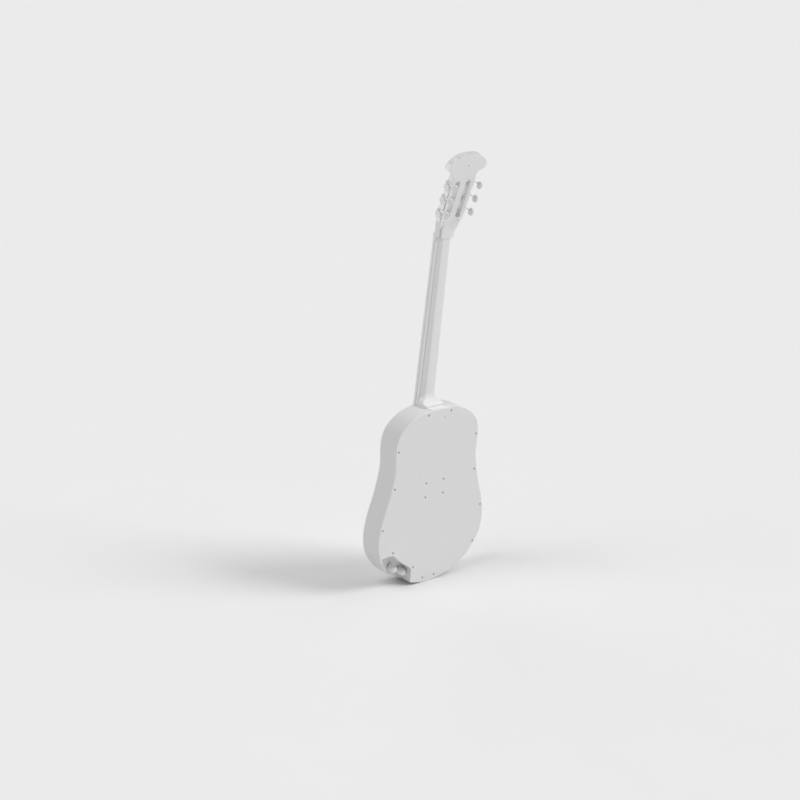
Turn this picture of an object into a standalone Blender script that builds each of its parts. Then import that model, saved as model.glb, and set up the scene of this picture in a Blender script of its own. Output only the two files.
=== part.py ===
# Semi-acoustic guitar, upright: +Z along its length, back towards +Y, treble side towards +X.
# Design dimensions are in millimetres and become metres in make().
import bpy
import bmesh
import numpy as np
from math import sin, cos, pi, radians
from mathutils import Vector

# ---------------------------------------------------------------- driving dimensions
Y0 = 20.721               # the back face's outer plane, measured from the bounding box centre
GAP = 0.3                 # clearance between touching pieces
BODY_D = 59.5             # body depth
# half widths of the body at heights above its lowest point
STATIONS = [(0, 0), (3, 32), (16, 76), (44, 120), (88, 152.5), (135, 161.2), (184, 154), (240, 136.5),
            (300, 124.6), (348, 126), (372, 123.8), (388.5, 118), (399, 110.8), (408, 101.6), (418.3, 87.6), (425.3, 74),
            (431, 57.5), (434.3, 41), (435.3, 22), (435.5, 0)]
BODY_L = 435.5            # body length, up to its flat shoulder
N_OUT = 104               # points round the body
WALL = 12.0               # body wall
TOP_T = 3.0
BACK_T = 3.0
NOTCH_D = 33.5            # depth of the control notch, from the back face
NOTCH = [(176, 84), (133, 93.5), (112, 91.5), (90, 68), (61, 49), (56, 42), (56.5, 20), (57.5, -20)]
HOLE_R = 44.0             # soundhole
HOLE_Z = 322.0
SCALE = 648.0             # string length, nut to saddle
V0 = -4.0                 # front edge of the nut, along the neck from its reference point
NECK_TILT = radians(3.0)
HEAD_TILT = radians(18.07)
NUT_Y, NUT_Z = -38.4, 840.3     # nut face on the neck's front plane
NECK_L = 402.0            # nut to where the neck plane meets the body's front face
W_NUT, W_BODY = 22.4, 28.4      # half widths of the fretboard
FB_T = 5.4                # fretboard in front of the neck plane
FB_B = 2.0                # and behind it
LAM_T = 8.2               # far face of the laminate strip under the fretboard
DEPTH_NUT, DEPTH_BODY = 16.1, 18.4   # neck wood behind the neck plane
FB_L = 452.0              # end of the fretboard
N_FRETS = 20
HB_Y, HB_Z = -25.92, 841.34     # a point on the headstock's back face
HEAD_T = 16.5
HEAD = [(21.9, -13), (22.0, -4), (22.0, 3), (22.3, 9), (24.6, 20), (26.3, 26), (28.0, 32), (29.8, 38), (31.3, 44), (32.2, 52), (32.3, 73), (32.6, 110),
        (33.4, 143), (34, 151), (33.2, 160), (34.2, 165), (38, 168.8), (43.5, 171.6), (50, 174.8), (53.9, 179.5), (54.3, 185),
        (51.5, 193), (44, 201.3), (33, 208.3), (19, 212.3), (0, 213.8)]
SLOT_X, SLOT_W = 15.9, 14.2
SLOT_S0, SLOT_S1 = 50.5, 148.5
POST_S = (131.4, 96.6, 62.0)    # rollers, from the tip down
POST_N = -10.2
KEY_DS = 10.2             # worm axis above its gear's axis
ROLL_R = 5.0
KEY_X = 37.0
PLATE_X = 33.8            # the tuner plates' inner face
TEETH, GEAR_R, GEAR_T = 14, 8.4, 3.4
WORM_R = 1.5
BUTTON = (4.2, 9.0, 6.3)  # half sizes of a key's button: thick, long, deep
BUTTON_N = 15.3           # its centre behind the head's back face
NUT_T = 6.3
NUT_X = (-18.6, -11.2, -3.75, 3.75, 11.2, 18.6)
SADDLE_X = (-27.0, -16.2, -5.4, 5.4, 16.2, 27.0)
STRING_R = (0.62, 0.52, 0.43, 0.36, 0.30, 0.26)
SADDLE_H = 20.8           # string height above the soundboard at the saddle

for ob in list(bpy.data.objects):
    bpy.data.objects.remove(ob, do_unlink=True)

# ---------------------------------------------------------------- materials
def material(name, rgb, rough, metal=0.0):
    m = bpy.data.materials.new(name)
    m.use_nodes = True
    b = m.node_tree.nodes["Principled BSDF"]
    b.inputs["Base Color"].default_value = (*rgb, 1)
    b.inputs["Roughness"].default_value = rough
    b.inputs["Metallic"].default_value = metal
    m.diffuse_color = (*rgb, 1)
    return m


PALE = (0.80, 0.80, 0.79)
KIND = {"wood": (0.55, 0.0), "metal": (0.35, 0.6), "plastic": (0.4, 0.0), "bone": (0.45, 0.0)}


def finish(name, kind, tone=1.0):
    r, me = KIND[kind]
    return material("mat_" + name, tuple(c * tone for c in PALE), r, me)


# ---------------------------------------------------------------- frames
X = np.array([1.0, 0, 0])
Y = np.array([0, 1.0, 0])
Z = np.array([0, 0, 1.0])


class Frame:
    """Origin with three axes: across, up, out of the back."""

    def __init__(self, o, a, b, c):
        self.o, self.a, self.b, self.c = (np.array(v, float) for v in (o, a, b, c))

    def __call__(self, u, v, w):
        return self.o + self.a * u + self.b * v + self.c * w


BODY = Frame((0, 0, 0), X, Z, Y)
S0 = np.array([0, sin(NECK_TILT), cos(NECK_TILT)])
N0 = np.array([0, cos(NECK_TILT), -sin(NECK_TILT)])
NECK = Frame((0, NUT_Y, NUT_Z), X, -S0, N0)      # v runs from the nut to the body
HS = np.array([0, sin(HEAD_TILT), cos(HEAD_TILT)])
HN = np.array([0, cos(HEAD_TILT), -sin(HEAD_TILT)])
HEADF = Frame((0, HB_Y, HB_Z), X, HS, HN)


# ---------------------------------------------------------------- mesh helpers
def make(name, parts, mat, smooth=False, origin=None):
    """parts: list of (verts, faces) in millimetres, each a closed solid."""
    bm = bmesh.new()
    for verts, faces in parts:
        vs = [bm.verts.new((v[0] / 1000, (v[1] + Y0) / 1000, v[2] / 1000)) for v in verts]
        for f in faces:
            if len(set(f)) > 2:
                try:
                    bm.faces.new([vs[i] for i in f])
                except ValueError:
                    pass
    bmesh.ops.recalc_face_normals(bm, faces=bm.faces)
    if origin is not None:
        o = Vector((origin[0] / 1000, (origin[1] + Y0) / 1000, origin[2] / 1000))
        for v in bm.verts:
            v.co -= o
    me = bpy.data.meshes.new(name)
    bm.to_mesh(me)
    bm.free()
    ob = bpy.data.objects.new(name, me)
    bpy.context.scene.collection.objects.link(ob)
    if origin is not None:
        ob.location = o
    me.materials.append(mat)
    if smooth:
        for p in me.polygons:
            p.use_smooth = True
    return ob


def prism(poly, fr, w0, w1):
    """Polygon of (u, v) pairs, extruded from w0 to w1 in frame fr."""
    n = len(poly)
    v = [fr(p[0], p[1], w0) for p in poly] + [fr(p[0], p[1], w1) for p in poly]
    f = [tuple(range(n))[::-1], tuple(range(n, 2 * n))]
    f += [(i, (i + 1) % n, n + (i + 1) % n, n + i) for i in range(n)]
    return v, f


def ring_prism(outer, inner, fr, w0, w1):
    n = len(outer)
    v = [fr(p[0], p[1], w) for w in (w0, w1) for p in outer] + [fr(p[0], p[1], w) for w in (w0, w1) for p in inner]
    f = []
    for i in range(n):
        j = (i + 1) % n
        f += [(i, j, n + j, n + i), (2 * n + j, 2 * n + i, 3 * n + i, 3 * n + j),
              (j, i, 2 * n + i, 2 * n + j), (n + i, n + j, 3 * n + j, 3 * n + i)]
    return v, f


def lathe(profile, fr, n=16, phase=0.0):
    """profile of (radius, w) pairs turned about fr's w axis; ends close on the axis."""
    v, f, rows = [], [], []
    for r, w in profile:
        if r < 1e-6:
            rows.append([len(v)] * n)
            v.append(fr(0, 0, w))
        else:
            rows.append(list(range(len(v), len(v) + n)))
            v += [fr(r * cos(phase + 2 * pi * k / n), r * sin(phase + 2 * pi * k / n), w) for k in range(n)]
    for a, b in zip(rows, rows[1:]):
        for k in range(n):
            q = [a[k], a[(k + 1) % n], b[(k + 1) % n], b[k]]
            q = [x for i, x in enumerate(q) if x not in q[:i]]
            if len(q) > 2:
                f.append(tuple(q))
    for row, flip in ((rows[0], True), (rows[-1], False)):
        if len(set(row)) > 1:
            f.append(tuple(row[::-1] if flip else row))
    return v, f


def loft(sections):
    n = len(sections[0])
    v = [p for s in sections for p in s]
    f = []
    for k in range(len(sections) - 1):
        for i in range(n):
            j = (i + 1) % n
            f.append((k * n + i, k * n + j, (k + 1) * n + j, (k + 1) * n + i))
    f.append(tuple(range(n))[::-1])
    f.append(tuple(range((len(sections) - 1) * n, len(sections) * n)))
    return v, f


def box(fr, u0, u1, v0, v1, w0, w1):
    return prism([(u0, v0), (u1, v0), (u1, v1), (u0, v1)], fr, w0, w1)


def frame_at(o, axis, up=None):
    c = np.array(axis, float)
    c = c / np.linalg.norm(c)
    ref = np.array(up if up is not None else (Z if abs(c[2]) < 0.9 else X), float)
    b = ref - c * (ref @ c)
    b = b / np.linalg.norm(b)
    return Frame(o, np.cross(b, c), b, c)


def boolean(ob, cutters, op="DIFFERENCE"):
    for c in cutters:
        m = ob.modifiers.new("bool%d" % len(ob.modifiers), "BOOLEAN")
        m.operation = op
        m.object = c
        m.solver = "EXACT"


def cutter(name, parts):
    ob = make(name, parts, CUT_MAT)
    ob.hide_render = True
    ob.display_type = "WIRE"
    return ob


CUT_MAT = material("mat_cutter", (0.5, 0.5, 0.5), 0.5)


# ---------------------------------------------------------------- outlines
def catmull(points, per):
    """Smooth open curve through the points."""
    p = [np.array(q, float) for q in points]
    p = [2 * p[0] - p[1]] + p + [2 * p[-1] - p[-2]]
    out = []
    for i in range(1, len(p) - 2):
        for k in range(per):
            t = k / per
            out.append(0.5 * ((2 * p[i]) + (-p[i - 1] + p[i + 1]) * t + (2 * p[i - 1] - 5 * p[i] + 4 * p[i + 1] - p[i + 2]) * t * t
                              + (-p[i - 1] + 3 * p[i] - 3 * p[i + 1] + p[i + 2]) * t ** 3))
    out.append(p[-2])
    return out


def resample(pts, n):
    pts = np.array(pts)
    d = np.r_[0, np.cumsum(np.linalg.norm(np.diff(pts, axis=0), axis=1))]
    s = np.linspace(0, d[-1], n)
    return np.c_[np.interp(s, d, pts[:, 0]), np.interp(s, d, pts[:, 1])]


half = [(w, z) for z, w in STATIONS]
mirror = [(-w, z) for w, z in half]
ext = [mirror[1]] + half + [mirror[-2]]
curve = catmull(ext, 24)[24:-24]
right = resample(curve, N_OUT // 2 + 1)
OUT = [tuple(p) for p in right] + [(-p[0], p[1]) for p in right[-2:0:-1]]      # counter-clockwise seen from the front


def offset(poly, d):
    """Closed polygon moved inwards by d."""
    p = np.array(poly, float)
    n = len(p)
    area = 0.5 * sum(p[i][0] * p[(i + 1) % n][1] - p[(i + 1) % n][0] * p[i][1] for i in range(n))
    sg = 1 if area > 0 else -1
    out = []
    for i in range(n):
        e0 = p[i] - p[i - 1]
        e1 = p[(i + 1) % n] - p[i]
        e0 = e0 / np.linalg.norm(e0)
        e1 = e1 / np.linalg.norm(e1)
        n0 = np.array([-e0[1], e0[0]]) * sg
        n1 = np.array([-e1[1], e1[0]]) * sg
        b = n0 + n1
        b = b / max(1e-9, b @ n0)
        out.append(tuple(p[i] + b * d))
    return out


def round_corners(poly, r, k=3):
    """Open polyline with its inner corners rounded."""
    p = [np.array(q, float) for q in poly]
    out = [tuple(p[0])]
    for i in range(1, len(p) - 1):
        a = p[i - 1] - p[i]
        b = p[i + 1] - p[i]
        c = min(r, 0.45 * np.linalg.norm(a), 0.45 * np.linalg.norm(b))
        a = p[i] + a / np.linalg.norm(a) * c
        b = p[i] + b / np.linalg.norm(b) * c
        for j in range(k + 1):
            t = j / k
            out.append(tuple((1 - t) ** 2 * a + 2 * t * (1 - t) * p[i] + t * t * b))
    out.append(tuple(p[-1]))
    return out


NOTCH_LINE = round_corners(NOTCH, 11, 3)


def notch_region(grow):
    """The notch's plan: its wall line moved into the body by grow, closed far outside the body."""
    p = np.array(NOTCH_LINE)
    out = []
    for i in range(len(p)):
        e = p[min(i + 1, len(p) - 1)] - p[max(i - 1, 0)]
        e = e / np.linalg.norm(e)
        nrm = np.array([e[1], -e[0]])           # right-hand side of travel
        out.append(tuple(p[i] + nrm * grow * (-1 if nrm @ np.array([1, -1]) > 0 else 1)))
    return out + [(60, -60), (215, -60), (215, 84)]


def circle(cx, cy, r, n, a0=0.0):
    return [(cx + r * cos(a0 + 2 * pi * k / n), cy + r * sin(a0 + 2 * pi * k / n)) for k in range(n)]


# ================================================================= body
INNER = offset(OUT, WALL)
rim = make("body_rim", [ring_prism(OUT, INNER, BODY, -BODY_D + TOP_T + GAP, -BACK_T - GAP)], finish("body_rim", "wood"))
rim_cut = cutter("rim_cut", [prism(notch_region(3 + GAP), BODY, -NOTCH_D - 2.5 - GAP, 6)])

top = make("top_plate", [prism(OUT, BODY, -BODY_D, -BODY_D + TOP_T)], finish("top_plate", "wood"))
hole_cut = cutter("hole_cut", [prism(circle(0, HOLE_Z, HOLE_R, 40), BODY, -BODY_D - 5, -BODY_D + TOP_T + 5)])
boolean(top, [hole_cut])

back = make("back_plate", [prism(OUT, BODY, -BACK_T, 0)], finish("back_plate", "wood"))
back_cut = cutter("back_cut", [prism(notch_region(0), BODY, -BACK_T - 5, 6)])

SCREWS = [(119.8, 352.5), (123.7, 261.6), (152.6, 164.0), (18.0, 12.5), (34.5, 427.0)]
SCREWS = [(s * x, z) for x, z in SCREWS for s in (1, -1)] + [(s * 27.2, z) for z in (256.4, 221.4) for s in (1, -1)]
SCREWS += [(-136.6, 72.0), (116.6, 99.3), (50.6, 47.5), (-15.7, 414.0)]
clear = []
for i, (sx, sz) in enumerate(SCREWS):
    fr = frame_at((sx, 0, sz), Y)
    if i < 10:
        make("back_screw_%02d" % (i + 1), [lathe([(0, 0.15), (2.4, 0.15), (2.4, -0.5), (1.25, -1.7), (1.25, -10.5), (0, -12.0)], fr, 8)], finish("back_screw_%02d" % (i + 1), "metal", 0.55))
    clear.append(lathe([(0, 1.0), (2.75, 1.0), (2.75, -0.75), (1.6, -1.95), (1.6, -12.4), (0, -12.5)], fr, 8))
screw_cut = cutter("screw_cut", clear)
boolean(back, [back_cut, screw_cut])
boolean(rim, [rim_cut, screw_cut])

# neck block, tail block and centre block
IN_TOP, IN_BACK = -BODY_D + TOP_T + GAP, -BACK_T - GAP


def block(x0, x1, z0, z1, chamfer):
    return [(x0 + chamfer, z0), (x1 - chamfer, z0), (x1, z0 + chamfer), (x1, z1 - chamfer), (x1 - chamfer, z1), (x0 + chamfer, z1),
            (x0, z1 - chamfer), (x0, z0 + chamfer)]


nb = make("neck_block", [prism(block(-42, 42, 380, BODY_L - WALL - 2, 8), BODY, IN_TOP, IN_BACK)], finish("neck_block", "wood"))
boolean(nb, [screw_cut])
tb = make("tail_block", [prism(block(-30, 30, 14.6, 44, 3), BODY, IN_TOP, IN_BACK)], finish("tail_block", "wood"))
cb = make("centre_block", [prism(block(-36, 36, 212, 266, 4), BODY, -34, IN_BACK)], finish("centre_block", "wood"))
boolean(tb, [screw_cut])
boolean(cb, [screw_cut])

# braces on the soundboard and the back
def brace_solid(x0, z0, x1, z1, w, h, side):
    a, b = np.array([x0, z0], float), np.array([x1, z1], float)
    L = np.linalg.norm(b - a)
    e = (b - a) / L
    n = np.array([-e[1], e[0]]) * w / 2
    base = IN_TOP if side < 0 else IN_BACK
    sgn = 1 if side < 0 else -1
    secs = []
    for t, k in ((0, 0.35), (0.12, 1.0), (0.88, 1.0), (1, 0.35)):
        c = a + e * L * t
        secs.append([BODY(*(c - n), base), BODY(*(c + n), base), BODY(*(c + n * 0.5), base + sgn * h * k), BODY(*(c - n * 0.5), base + sgn * h * k)])
    return loft(secs)


def brace(name, *a):
    return make(name, [brace_solid(*a)], finish(name, "wood"))


xb = brace("top_bracing", -106, 100, 101, 373.4, 8, 12, -1)
more = [brace_solid(106, 100, -101, 373.4, 8, 12, -1), brace_solid(-104, 374.5, 104, 374.5, 8, 13, -1), brace_solid(-62, 160, -128, 182, 7, 9, -1),
        brace_solid(62, 160, 128, 182, 7, 9, -1), brace_solid(-83, 131, 22, 88, 7, 9, -1)]
boolean(xb, [cutter("bracing_%d" % k, [q]) for k, q in enumerate(more)], "UNION")
brace("back_brace_upper", -108, 318, 108, 318, 8, 12, 1)
brace("back_brace_lower", -138, 150, 138, 150, 8, 12, 1)

# bridge plate, bridge, saddle, pickup, pins
BR_Z = NUT_Z - (V0 + SCALE) * cos(NECK_TILT)           # saddle line
bp = make("bridge_plate", [prism([(-44, 173), (44, 173), (21, 205), (-21, 205)], BODY, IN_TOP, IN_TOP + 2.6)], finish("bridge_plate", "wood"))
FRONT = Frame((0, -BODY_D, 0), X, Z, -Y)        # w grows out of the soundboard
WING = [(-22, 0.3), (6, 0.3), (6, 3.4), (4, 4.6), (-20, 4.6), (-22, 3.4)]
MID = [(-22, 0.3), (6, 0.3), (6, 10.5), (4, 12.5), (-5.0, 12.5), (-7.5, 7.0), (-11.5, 7.0), (-11.5, 11.6), (-12.5, 12.8), (-21, 12.8), (-22, 11.6)]


def bridge_part(sec, x0, x1):
    return loft([[FRONT(x, BR_Z + p[0], p[1]) for p in sec] for x in (x0, x1)])


bridge = make("bridge", [bridge_part(MID, -41.5, 41.5)], finish("bridge", "wood", 0.98))
wings = [loft([[FRONT(x, BR_Z + p[0] * k + (1 - k) * -8, 0.3 + (p[1] - 0.3) * h) for p in WING] for x, k, h in ((sd * 38, 1, 1), (sd * 84, 1, 0.8), (sd * 88, 0.86, 0.5))]) for sd in (1, -1)]
boolean(bridge, [cutter("wing_%d" % k, [q]) for k, q in enumerate(wings)], "UNION")
slot = [box(FRONT, -37.3 - GAP, 37.3 + GAP, BR_Z - 1.6 - GAP, BR_Z + 1.6 + GAP, 3.2, 30)]
TIE_W = 10.0
ties = [lathe([(0, -40), (1.15, -40), (1.15, 20), (0, 20)], frame_at(FRONT(x, BR_Z - 30, TIE_W), -Z), 8) for x in SADDLE_X]
tie_cut = cutter("tie_cut", [box(FRONT, x - 1.1, x + 1.1, BR_Z - 30, BR_Z - 8, TIE_W - 1.1, TIE_W + 1.1) for x in SADDLE_X])
boolean(bridge, [cutter("bridge_cut", slot), tie_cut])
make("saddle_pickup", [box(FRONT, -37.2, 37.2, BR_Z - 1.5, BR_Z + 1.5, 3.5, 5.0)], finish("saddle_pickup", "metal", 0.9))
prof = [(-1.6, 5.3), (1.6, 5.3), (1.6, SADDLE_H - 1.0), (0.9, SADDLE_H), (-0.4, SADDLE_H), (-1.6, SADDLE_H - 2.4)]
make("saddle", [loft([[FRONT(x, BR_Z + p[0], p[1] - (0.9 if abs(x) > 30 and p[1] > 10 else 0)) for p in prof] for x in (-37.3, -30, 30, 37.3)])], finish("saddle", "bone"))

# ================================================================= control pocket, pots and knobs
FLOOR = -NOTCH_D
pocket = make("control_pocket", [prism(offset(OUT, 0.0), BODY, FLOOR - 2.5, -BACK_T - GAP)], finish("control_pocket", "plastic"))
pk_keep = cutter("pocket_keep", [prism(notch_region(3), BODY, FLOOR - 6, 10)])
pk_cut = cutter("pocket_cut", [prism(notch_region(0), BODY, FLOOR, 10)])
# the floor ramps up to the back's edge on its outer side
ON_Z = Frame((0, 0, 0), X, Y, Z)
boolean(pk_cut, [cutter("pocket_ramp", [prism([(98.9, -34.5), (167.4, 10), (230, 10), (230, -34.5)], ON_Z, -60, 110)])])
KNOBS = [(97.3, 47.3), (68.1, 32.5)]
pot_cut = cutter("pot_cut", [lathe([(0, -30), (4.0, -30), (4.0, 30), (0, 30)], frame_at((kx, FLOOR, kz), Y), 12) for kx, kz in KNOBS])
boolean(pocket, [pk_keep], "INTERSECT")
boolean(pocket, [pk_cut, pot_cut])
for i, (kx, kz) in enumerate(KNOBS):
    fr = frame_at((kx, FLOOR, kz), Y)
    nm = ("volume", "tone")[i]
    make("%s_pot" % nm, [lathe([(0, -13), (4.5, -13), (4.5, -2.8), (3.6, -2.8), (3.6, 0.3), (3.6, 4.0), (0, 4.0)], fr, 16)], finish(nm + "_pot", "metal", 0.8))
    kn = [(0, 4.4), (8.2, 4.4), (8.8, 5.2), (8.8, 17.4), (8.3, 20.2), (6.8, 22.6), (4.0, 24.3), (0, 24.9)]
    make("%s_knob" % nm, [lathe(kn, fr, 20)], finish(nm + "_knob", "plastic"), True, origin=fr(0, 0, 10))

make("preamp", [prism(block(60, 104, 104, 144, 3), BODY, -40, -22)], finish("preamp", "plastic", 0.8))
make("battery", [prism(block(70, 96, 156.5, 203, 2), BODY, -30, -13)], finish("battery", "metal", 0.7))

# output jack on the bass side of the tail, strap buttons
def rim_frame(x_sign, z):
    o = np.array(OUT)
    m = [i for i in range(len(o)) if o[i][0] * x_sign > 0]
    i = min(m, key=lambda k: abs(o[k][1] - z))
    t = o[(i + 1) % len(o)] - o[i - 1]
    nrm = np.array([t[1], -t[0]])
    nrm = nrm / np.linalg.norm(nrm)
    if nrm @ (o[i] - np.array([0, 200])) < 0:
        nrm = -nrm
    return Frame((o[i][0], -30.0, o[i][1]), np.array([-nrm[1], 0, nrm[0]]), Y, np.array([nrm[0], 0, nrm[1]]))


jf = rim_frame(-1, 60.0)
jack_cut = cutter("jack_cut", [lathe([(0, -30), (6.3, -30), (6.3, 30), (0, 30)], jf, 16)])
jack = make("output_jack", [lathe([(0, -20), (6.0, -20), (6.0, 0.5), (10.5, 0.5), (10.5, 1.6), (9.2, 2.4), (0, 2.4)], jf, 20)], finish("output_jack", "metal", 0.8))
jack_bore = cutter("jack_bore", [lathe([(0, -16), (3.2, -16), (3.2, 30), (0, 30)], jf, 12)])
boolean(jack, [jack_bore])
sf, sf2 = rim_frame(-1, 34.0), rim_frame(-1, 372.0)
btn = [(0, 0.5), (5.5, 0.5), (4.2, 3.0), (3.9, 6.0), (4.6, 9.0), (7.2, 11.0), (7.2, 12.6), (5.8, 13.6), (0, 13.6)]
for nm, f in (("tail", sf), ("upper", sf2)):
    make("strap_button_" + nm, [lathe(btn, f, 16)], finish("strap_button_" + nm, "metal", 0.85), True)
boolean(rim, [jack_cut])

# ================================================================= neck
def wid(v):
    return W_NUT + (W_BODY - W_NUT) * min(max(v, 0), 460) / NECK_L


def depth(v):
    return DEPTH_NUT + (DEPTH_BODY - DEPTH_NUT) * v / NECK_L


END_V = (NUT_Z - BODY_L - GAP) / cos(NECK_TILT)        # where the neck meets the top of the body


def heel_drop(v):
    """Extra depth of the heel: a flare over 24 mm, then its foot."""
    t = (v - (END_V - 30)) / 23.7
    return (0.0 if t <= 0 else 17.0 * min(t, 1.0) ** 2.0) + (5.2 if v > END_V - 8.45 else 0.0)


# the neck's outline, as fractions of its half width: straight flanks into a flat back, square at the heel
FLANK_W = 8.9
KNEE = [(0.86, 0.53), (0.95, 0.47), (0.985, 0.40), (1.0, 0.30)]
SQUARE = [(0.60, 0.985), (0.90, 0.975), (0.975, 0.92), (1.0, 0.84)]


def side_x(v, w):
    """Half width at depth w behind the neck plane."""
    flat = min(1.0, heel_drop(v) / 12.0)
    s = depth(v) + heel_drop(v) - FLANK_W
    ws = [FB_B, FLANK_W] + [FLANK_W + s * (k[0] * (1 - flat) + q[0] * flat) for k, q in zip(KNEE, SQUARE)]
    xs = [1.0, 0.83 * (1 - flat) + 0.985 * flat] + [k[1] * (1 - flat) + q[1] * flat for k, q in zip(KNEE, SQUARE)]
    return wid(v) * float(np.interp(w, ws, xs))


def line1(v):
    """Groove behind the fretboard; near the nut it turns towards the back."""
    return FB_B + GAP + max(0.0, 10 - v) ** 2 / 25


def line2(v):
    """Groove behind the laminate, turning the same way."""
    return LAM_T + min(4.4, max(0.0, 19 - v) ** 2 / 62)


def knee_points(v):
    flat = min(1.0, heel_drop(v) / 12.0)
    s = depth(v) + heel_drop(v) - FLANK_W
    ws = [FLANK_W + s * (k[0] * (1 - flat) + q[0] * flat) for k, q in zip(KNEE, SQUARE)]
    return [(side_x(v, w), w) for w in ws]


def both_sides(v, pts):
    return [NECK(x, v, z) for x, z in pts] + [NECK(-x, v, z) for x, z in pts[::-1]]


def neck_section(v):
    """Neck wood behind the laminate: the groove's far side, a straight flank, the knee and the back."""
    g = line2(v) + GAP
    b = max(FLANK_W, g + 1.7)
    pts = [(side_x(v, g) - 1.3, g), (side_x(v, g) - 1.3, g + 0.5), (side_x(v, g + 1.1), g + 1.1), (side_x(v, b), b)]
    return both_sides(v, pts + knee_points(v))


def root_section(v):
    """The same wood at the head's root, with both grooves cut into it."""
    a, g = FB_B + GAP + max(0.15, line1(v) - FB_B - GAP), line2(v) + GAP
    b = max(FLANK_W, g + 1.7)
    w = wid(v)
    pts = [(w, FB_B + GAP), (w * (1 - 0.008 * (a - FB_B)), a), (side_x(v, a) - 1.1, a + 0.1), (side_x(v, a + 0.6) - 1.1, a + 0.6),
           (side_x(v, a + 1.1), a + 1.1), (side_x(v, g - 0.9), g - 0.9), (side_x(v, g - 0.3) - 0.8, g - 0.3), (side_x(v, g) - 1.3, g),
           (side_x(v, g) - 1.3, g + 0.5), (side_x(v, g + 1.1), g + 1.1), (side_x(v, b), b)]
    return both_sides(v, pts + knee_points(v))


def laminate_section(v):
    g, n = line2(v), FB_B + GAP
    pts = [(side_x(v, n) - 1.4, n), (side_x(v, n) - 1.4, n + 0.5), (side_x(v, n + 1.1), n + 1.1), (side_x(v, g - 0.6), g - 0.6), (side_x(v, g) - 0.8, g)]
    return both_sides(v, pts)


stations = [12.4, 14.5, 17, 19, 60, 130, 200, 260, 310, 350, END_V - 30, END_V - 25, END_V - 20, END_V - 15, END_V - 11.5, END_V - 8.5, END_V - 8.4, END_V - 5, END_V + 12]
seat_cut = cutter("seat_cut", [prism(offset(OUT, -GAP), BODY, -BODY_D - GAP, 30)])
neck = make("neck", [loft([neck_section(v) for v in stations])], finish("neck", "wood"), True)
boolean(neck, [seat_cut])

# headstock
def head_outline():
    h = catmull(HEAD + [(-HEAD[-2][0], HEAD[-2][1])], 2)
    n = max(i for i, p in enumerate(h) if p[0] > -1e-6)
    h = h[:n + 1]
    h = [(p[0], p[1]) for p in h]
    return h + [(-p[0], p[1]) for p in h[-2::-1]] if abs(h[-1][0]) < 1e-6 else h + [(-p[0], p[1]) for p in h[::-1]]


HO = head_outline()
FACE_T = 2.0
head = make("headstock", [prism(HO, HEADF, -HEAD_T + FACE_T + GAP, 0)], finish("headstock", "wood"))
face_poly = [p for p in HO if p[1] > -6]
face = make("head_faceplate", [prism(face_poly, HEADF, -HEAD_T, -HEAD_T + FACE_T)], finish("head_faceplate", "wood", 0.97))


def stadium(cx, s0, s1, w, n=6):
    r = w / 2
    p = [(cx + r * cos(pi + pi * k / n), s0 + r + r * sin(pi + pi * k / n)) for k in range(n + 1)]
    return p + [(cx + r * cos(pi * k / n), s1 - r + r * sin(pi * k / n)) for k in range(n + 1)]


slots = cutter("slot_cut", [prism(stadium(s * SLOT_X, SLOT_S0, SLOT_S1, SLOT_W), HEADF, -40, 20) for s in (1, -1)])
boolean(face, [slots])
post_holes = cutter("post_cut", [lathe([(0, 60), (3.35, 60), (3.35, -60), (0, -60)], Frame(HEADF(0, s, POST_N), Y, Z, X), 12) for s in POST_S])
# the head stops at the nut in front of the neck's plane, and at the scarf behind it
ON_V = Frame(NECK(0, 0, 0), -S0, N0, X)
lam_room = [(7.6, -60), (60, -60), (60, LAM_T + GAP)] + [(v, line2(v) + GAP) for v in (19, 16, 13, 10, 7.6)]
below_nut = [box(NECK, -80, 80, V0 - NUT_T - GAP, 60, -60, FB_B + GAP), prism(lam_room, ON_V, -80, 80), box(NECK, -80, 80, 12.0, 60, -60, 80)]
nut_cuts = [cutter("nut_cut_%d" % k, [q]) for k, q in enumerate(below_nut)]
ramp = [(34, -HEAD_T - 0.6), (34, -HEAD_T), (53, -12.4), (56, -12.4), (56, -HEAD_T - 0.6)]
SN = Frame(HEADF(0, 0, 0), HS, HN, X)
ramps = cutter("ramps", [prism([(q[0], q[1]) for q in ramp], SN, sd * 17.4 - 3.4, sd * 17.4 + 3.4) for sd in (1, -1)])
# shield: a flat raised tongue on the back of the head, ending in a shelf above the neck's rounded back
SHIELD = [(-2.5, 21.6, 19.4), (-8, 21.8, 19.9), (-16, 22.6, 20.5), (-23, 23.4, 21.1), (-29, 22.8, 21.7), (-33.5, 21.2, 22.1), (-36, 18.5, 22.4), (-37, 16.0, 22.5)]
vol = []
for v, w, d in SHIELD:
    row, low = [], 6 + 0.15 * max(0, -v - 10)
    for j in range(17):
        cx, sy = cos(pi * j / 16), sin(pi * j / 16)
        row.append(NECK(w * (1 if cx > 0 else -1) * abs(cx) ** 0.33, v, low + (d - low) * max(sy, 0.0) ** 0.33))
    vol.append(row)
shield = cutter("shield", [loft(vol)])
root = cutter("root", [loft([root_section(v) for v in (-3.2, -1.5, 0.2, 2, 4, 6, 8, 10, 12.2, 13.5)])])
# behind the nut the head's own flanks give way to the neck's section
ALONG = Frame(NECK(0, 0, 0), X, N0, -S0)
flanks = cutter("flanks", [prism([(sd * q[0], q[1]) for q in ((20, FB_B), (13, 12.5), (13, 30), (40, 30), (40, FB_B))], ALONG, -2.4, 16) for sd in (1, -1)])
boolean(head, [flanks])
boolean(head, [shield, root], "UNION")
boolean(head, [slots, post_holes, ramps] + nut_cuts)
boolean(face, [ramps, nut_cuts[0]])

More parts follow.
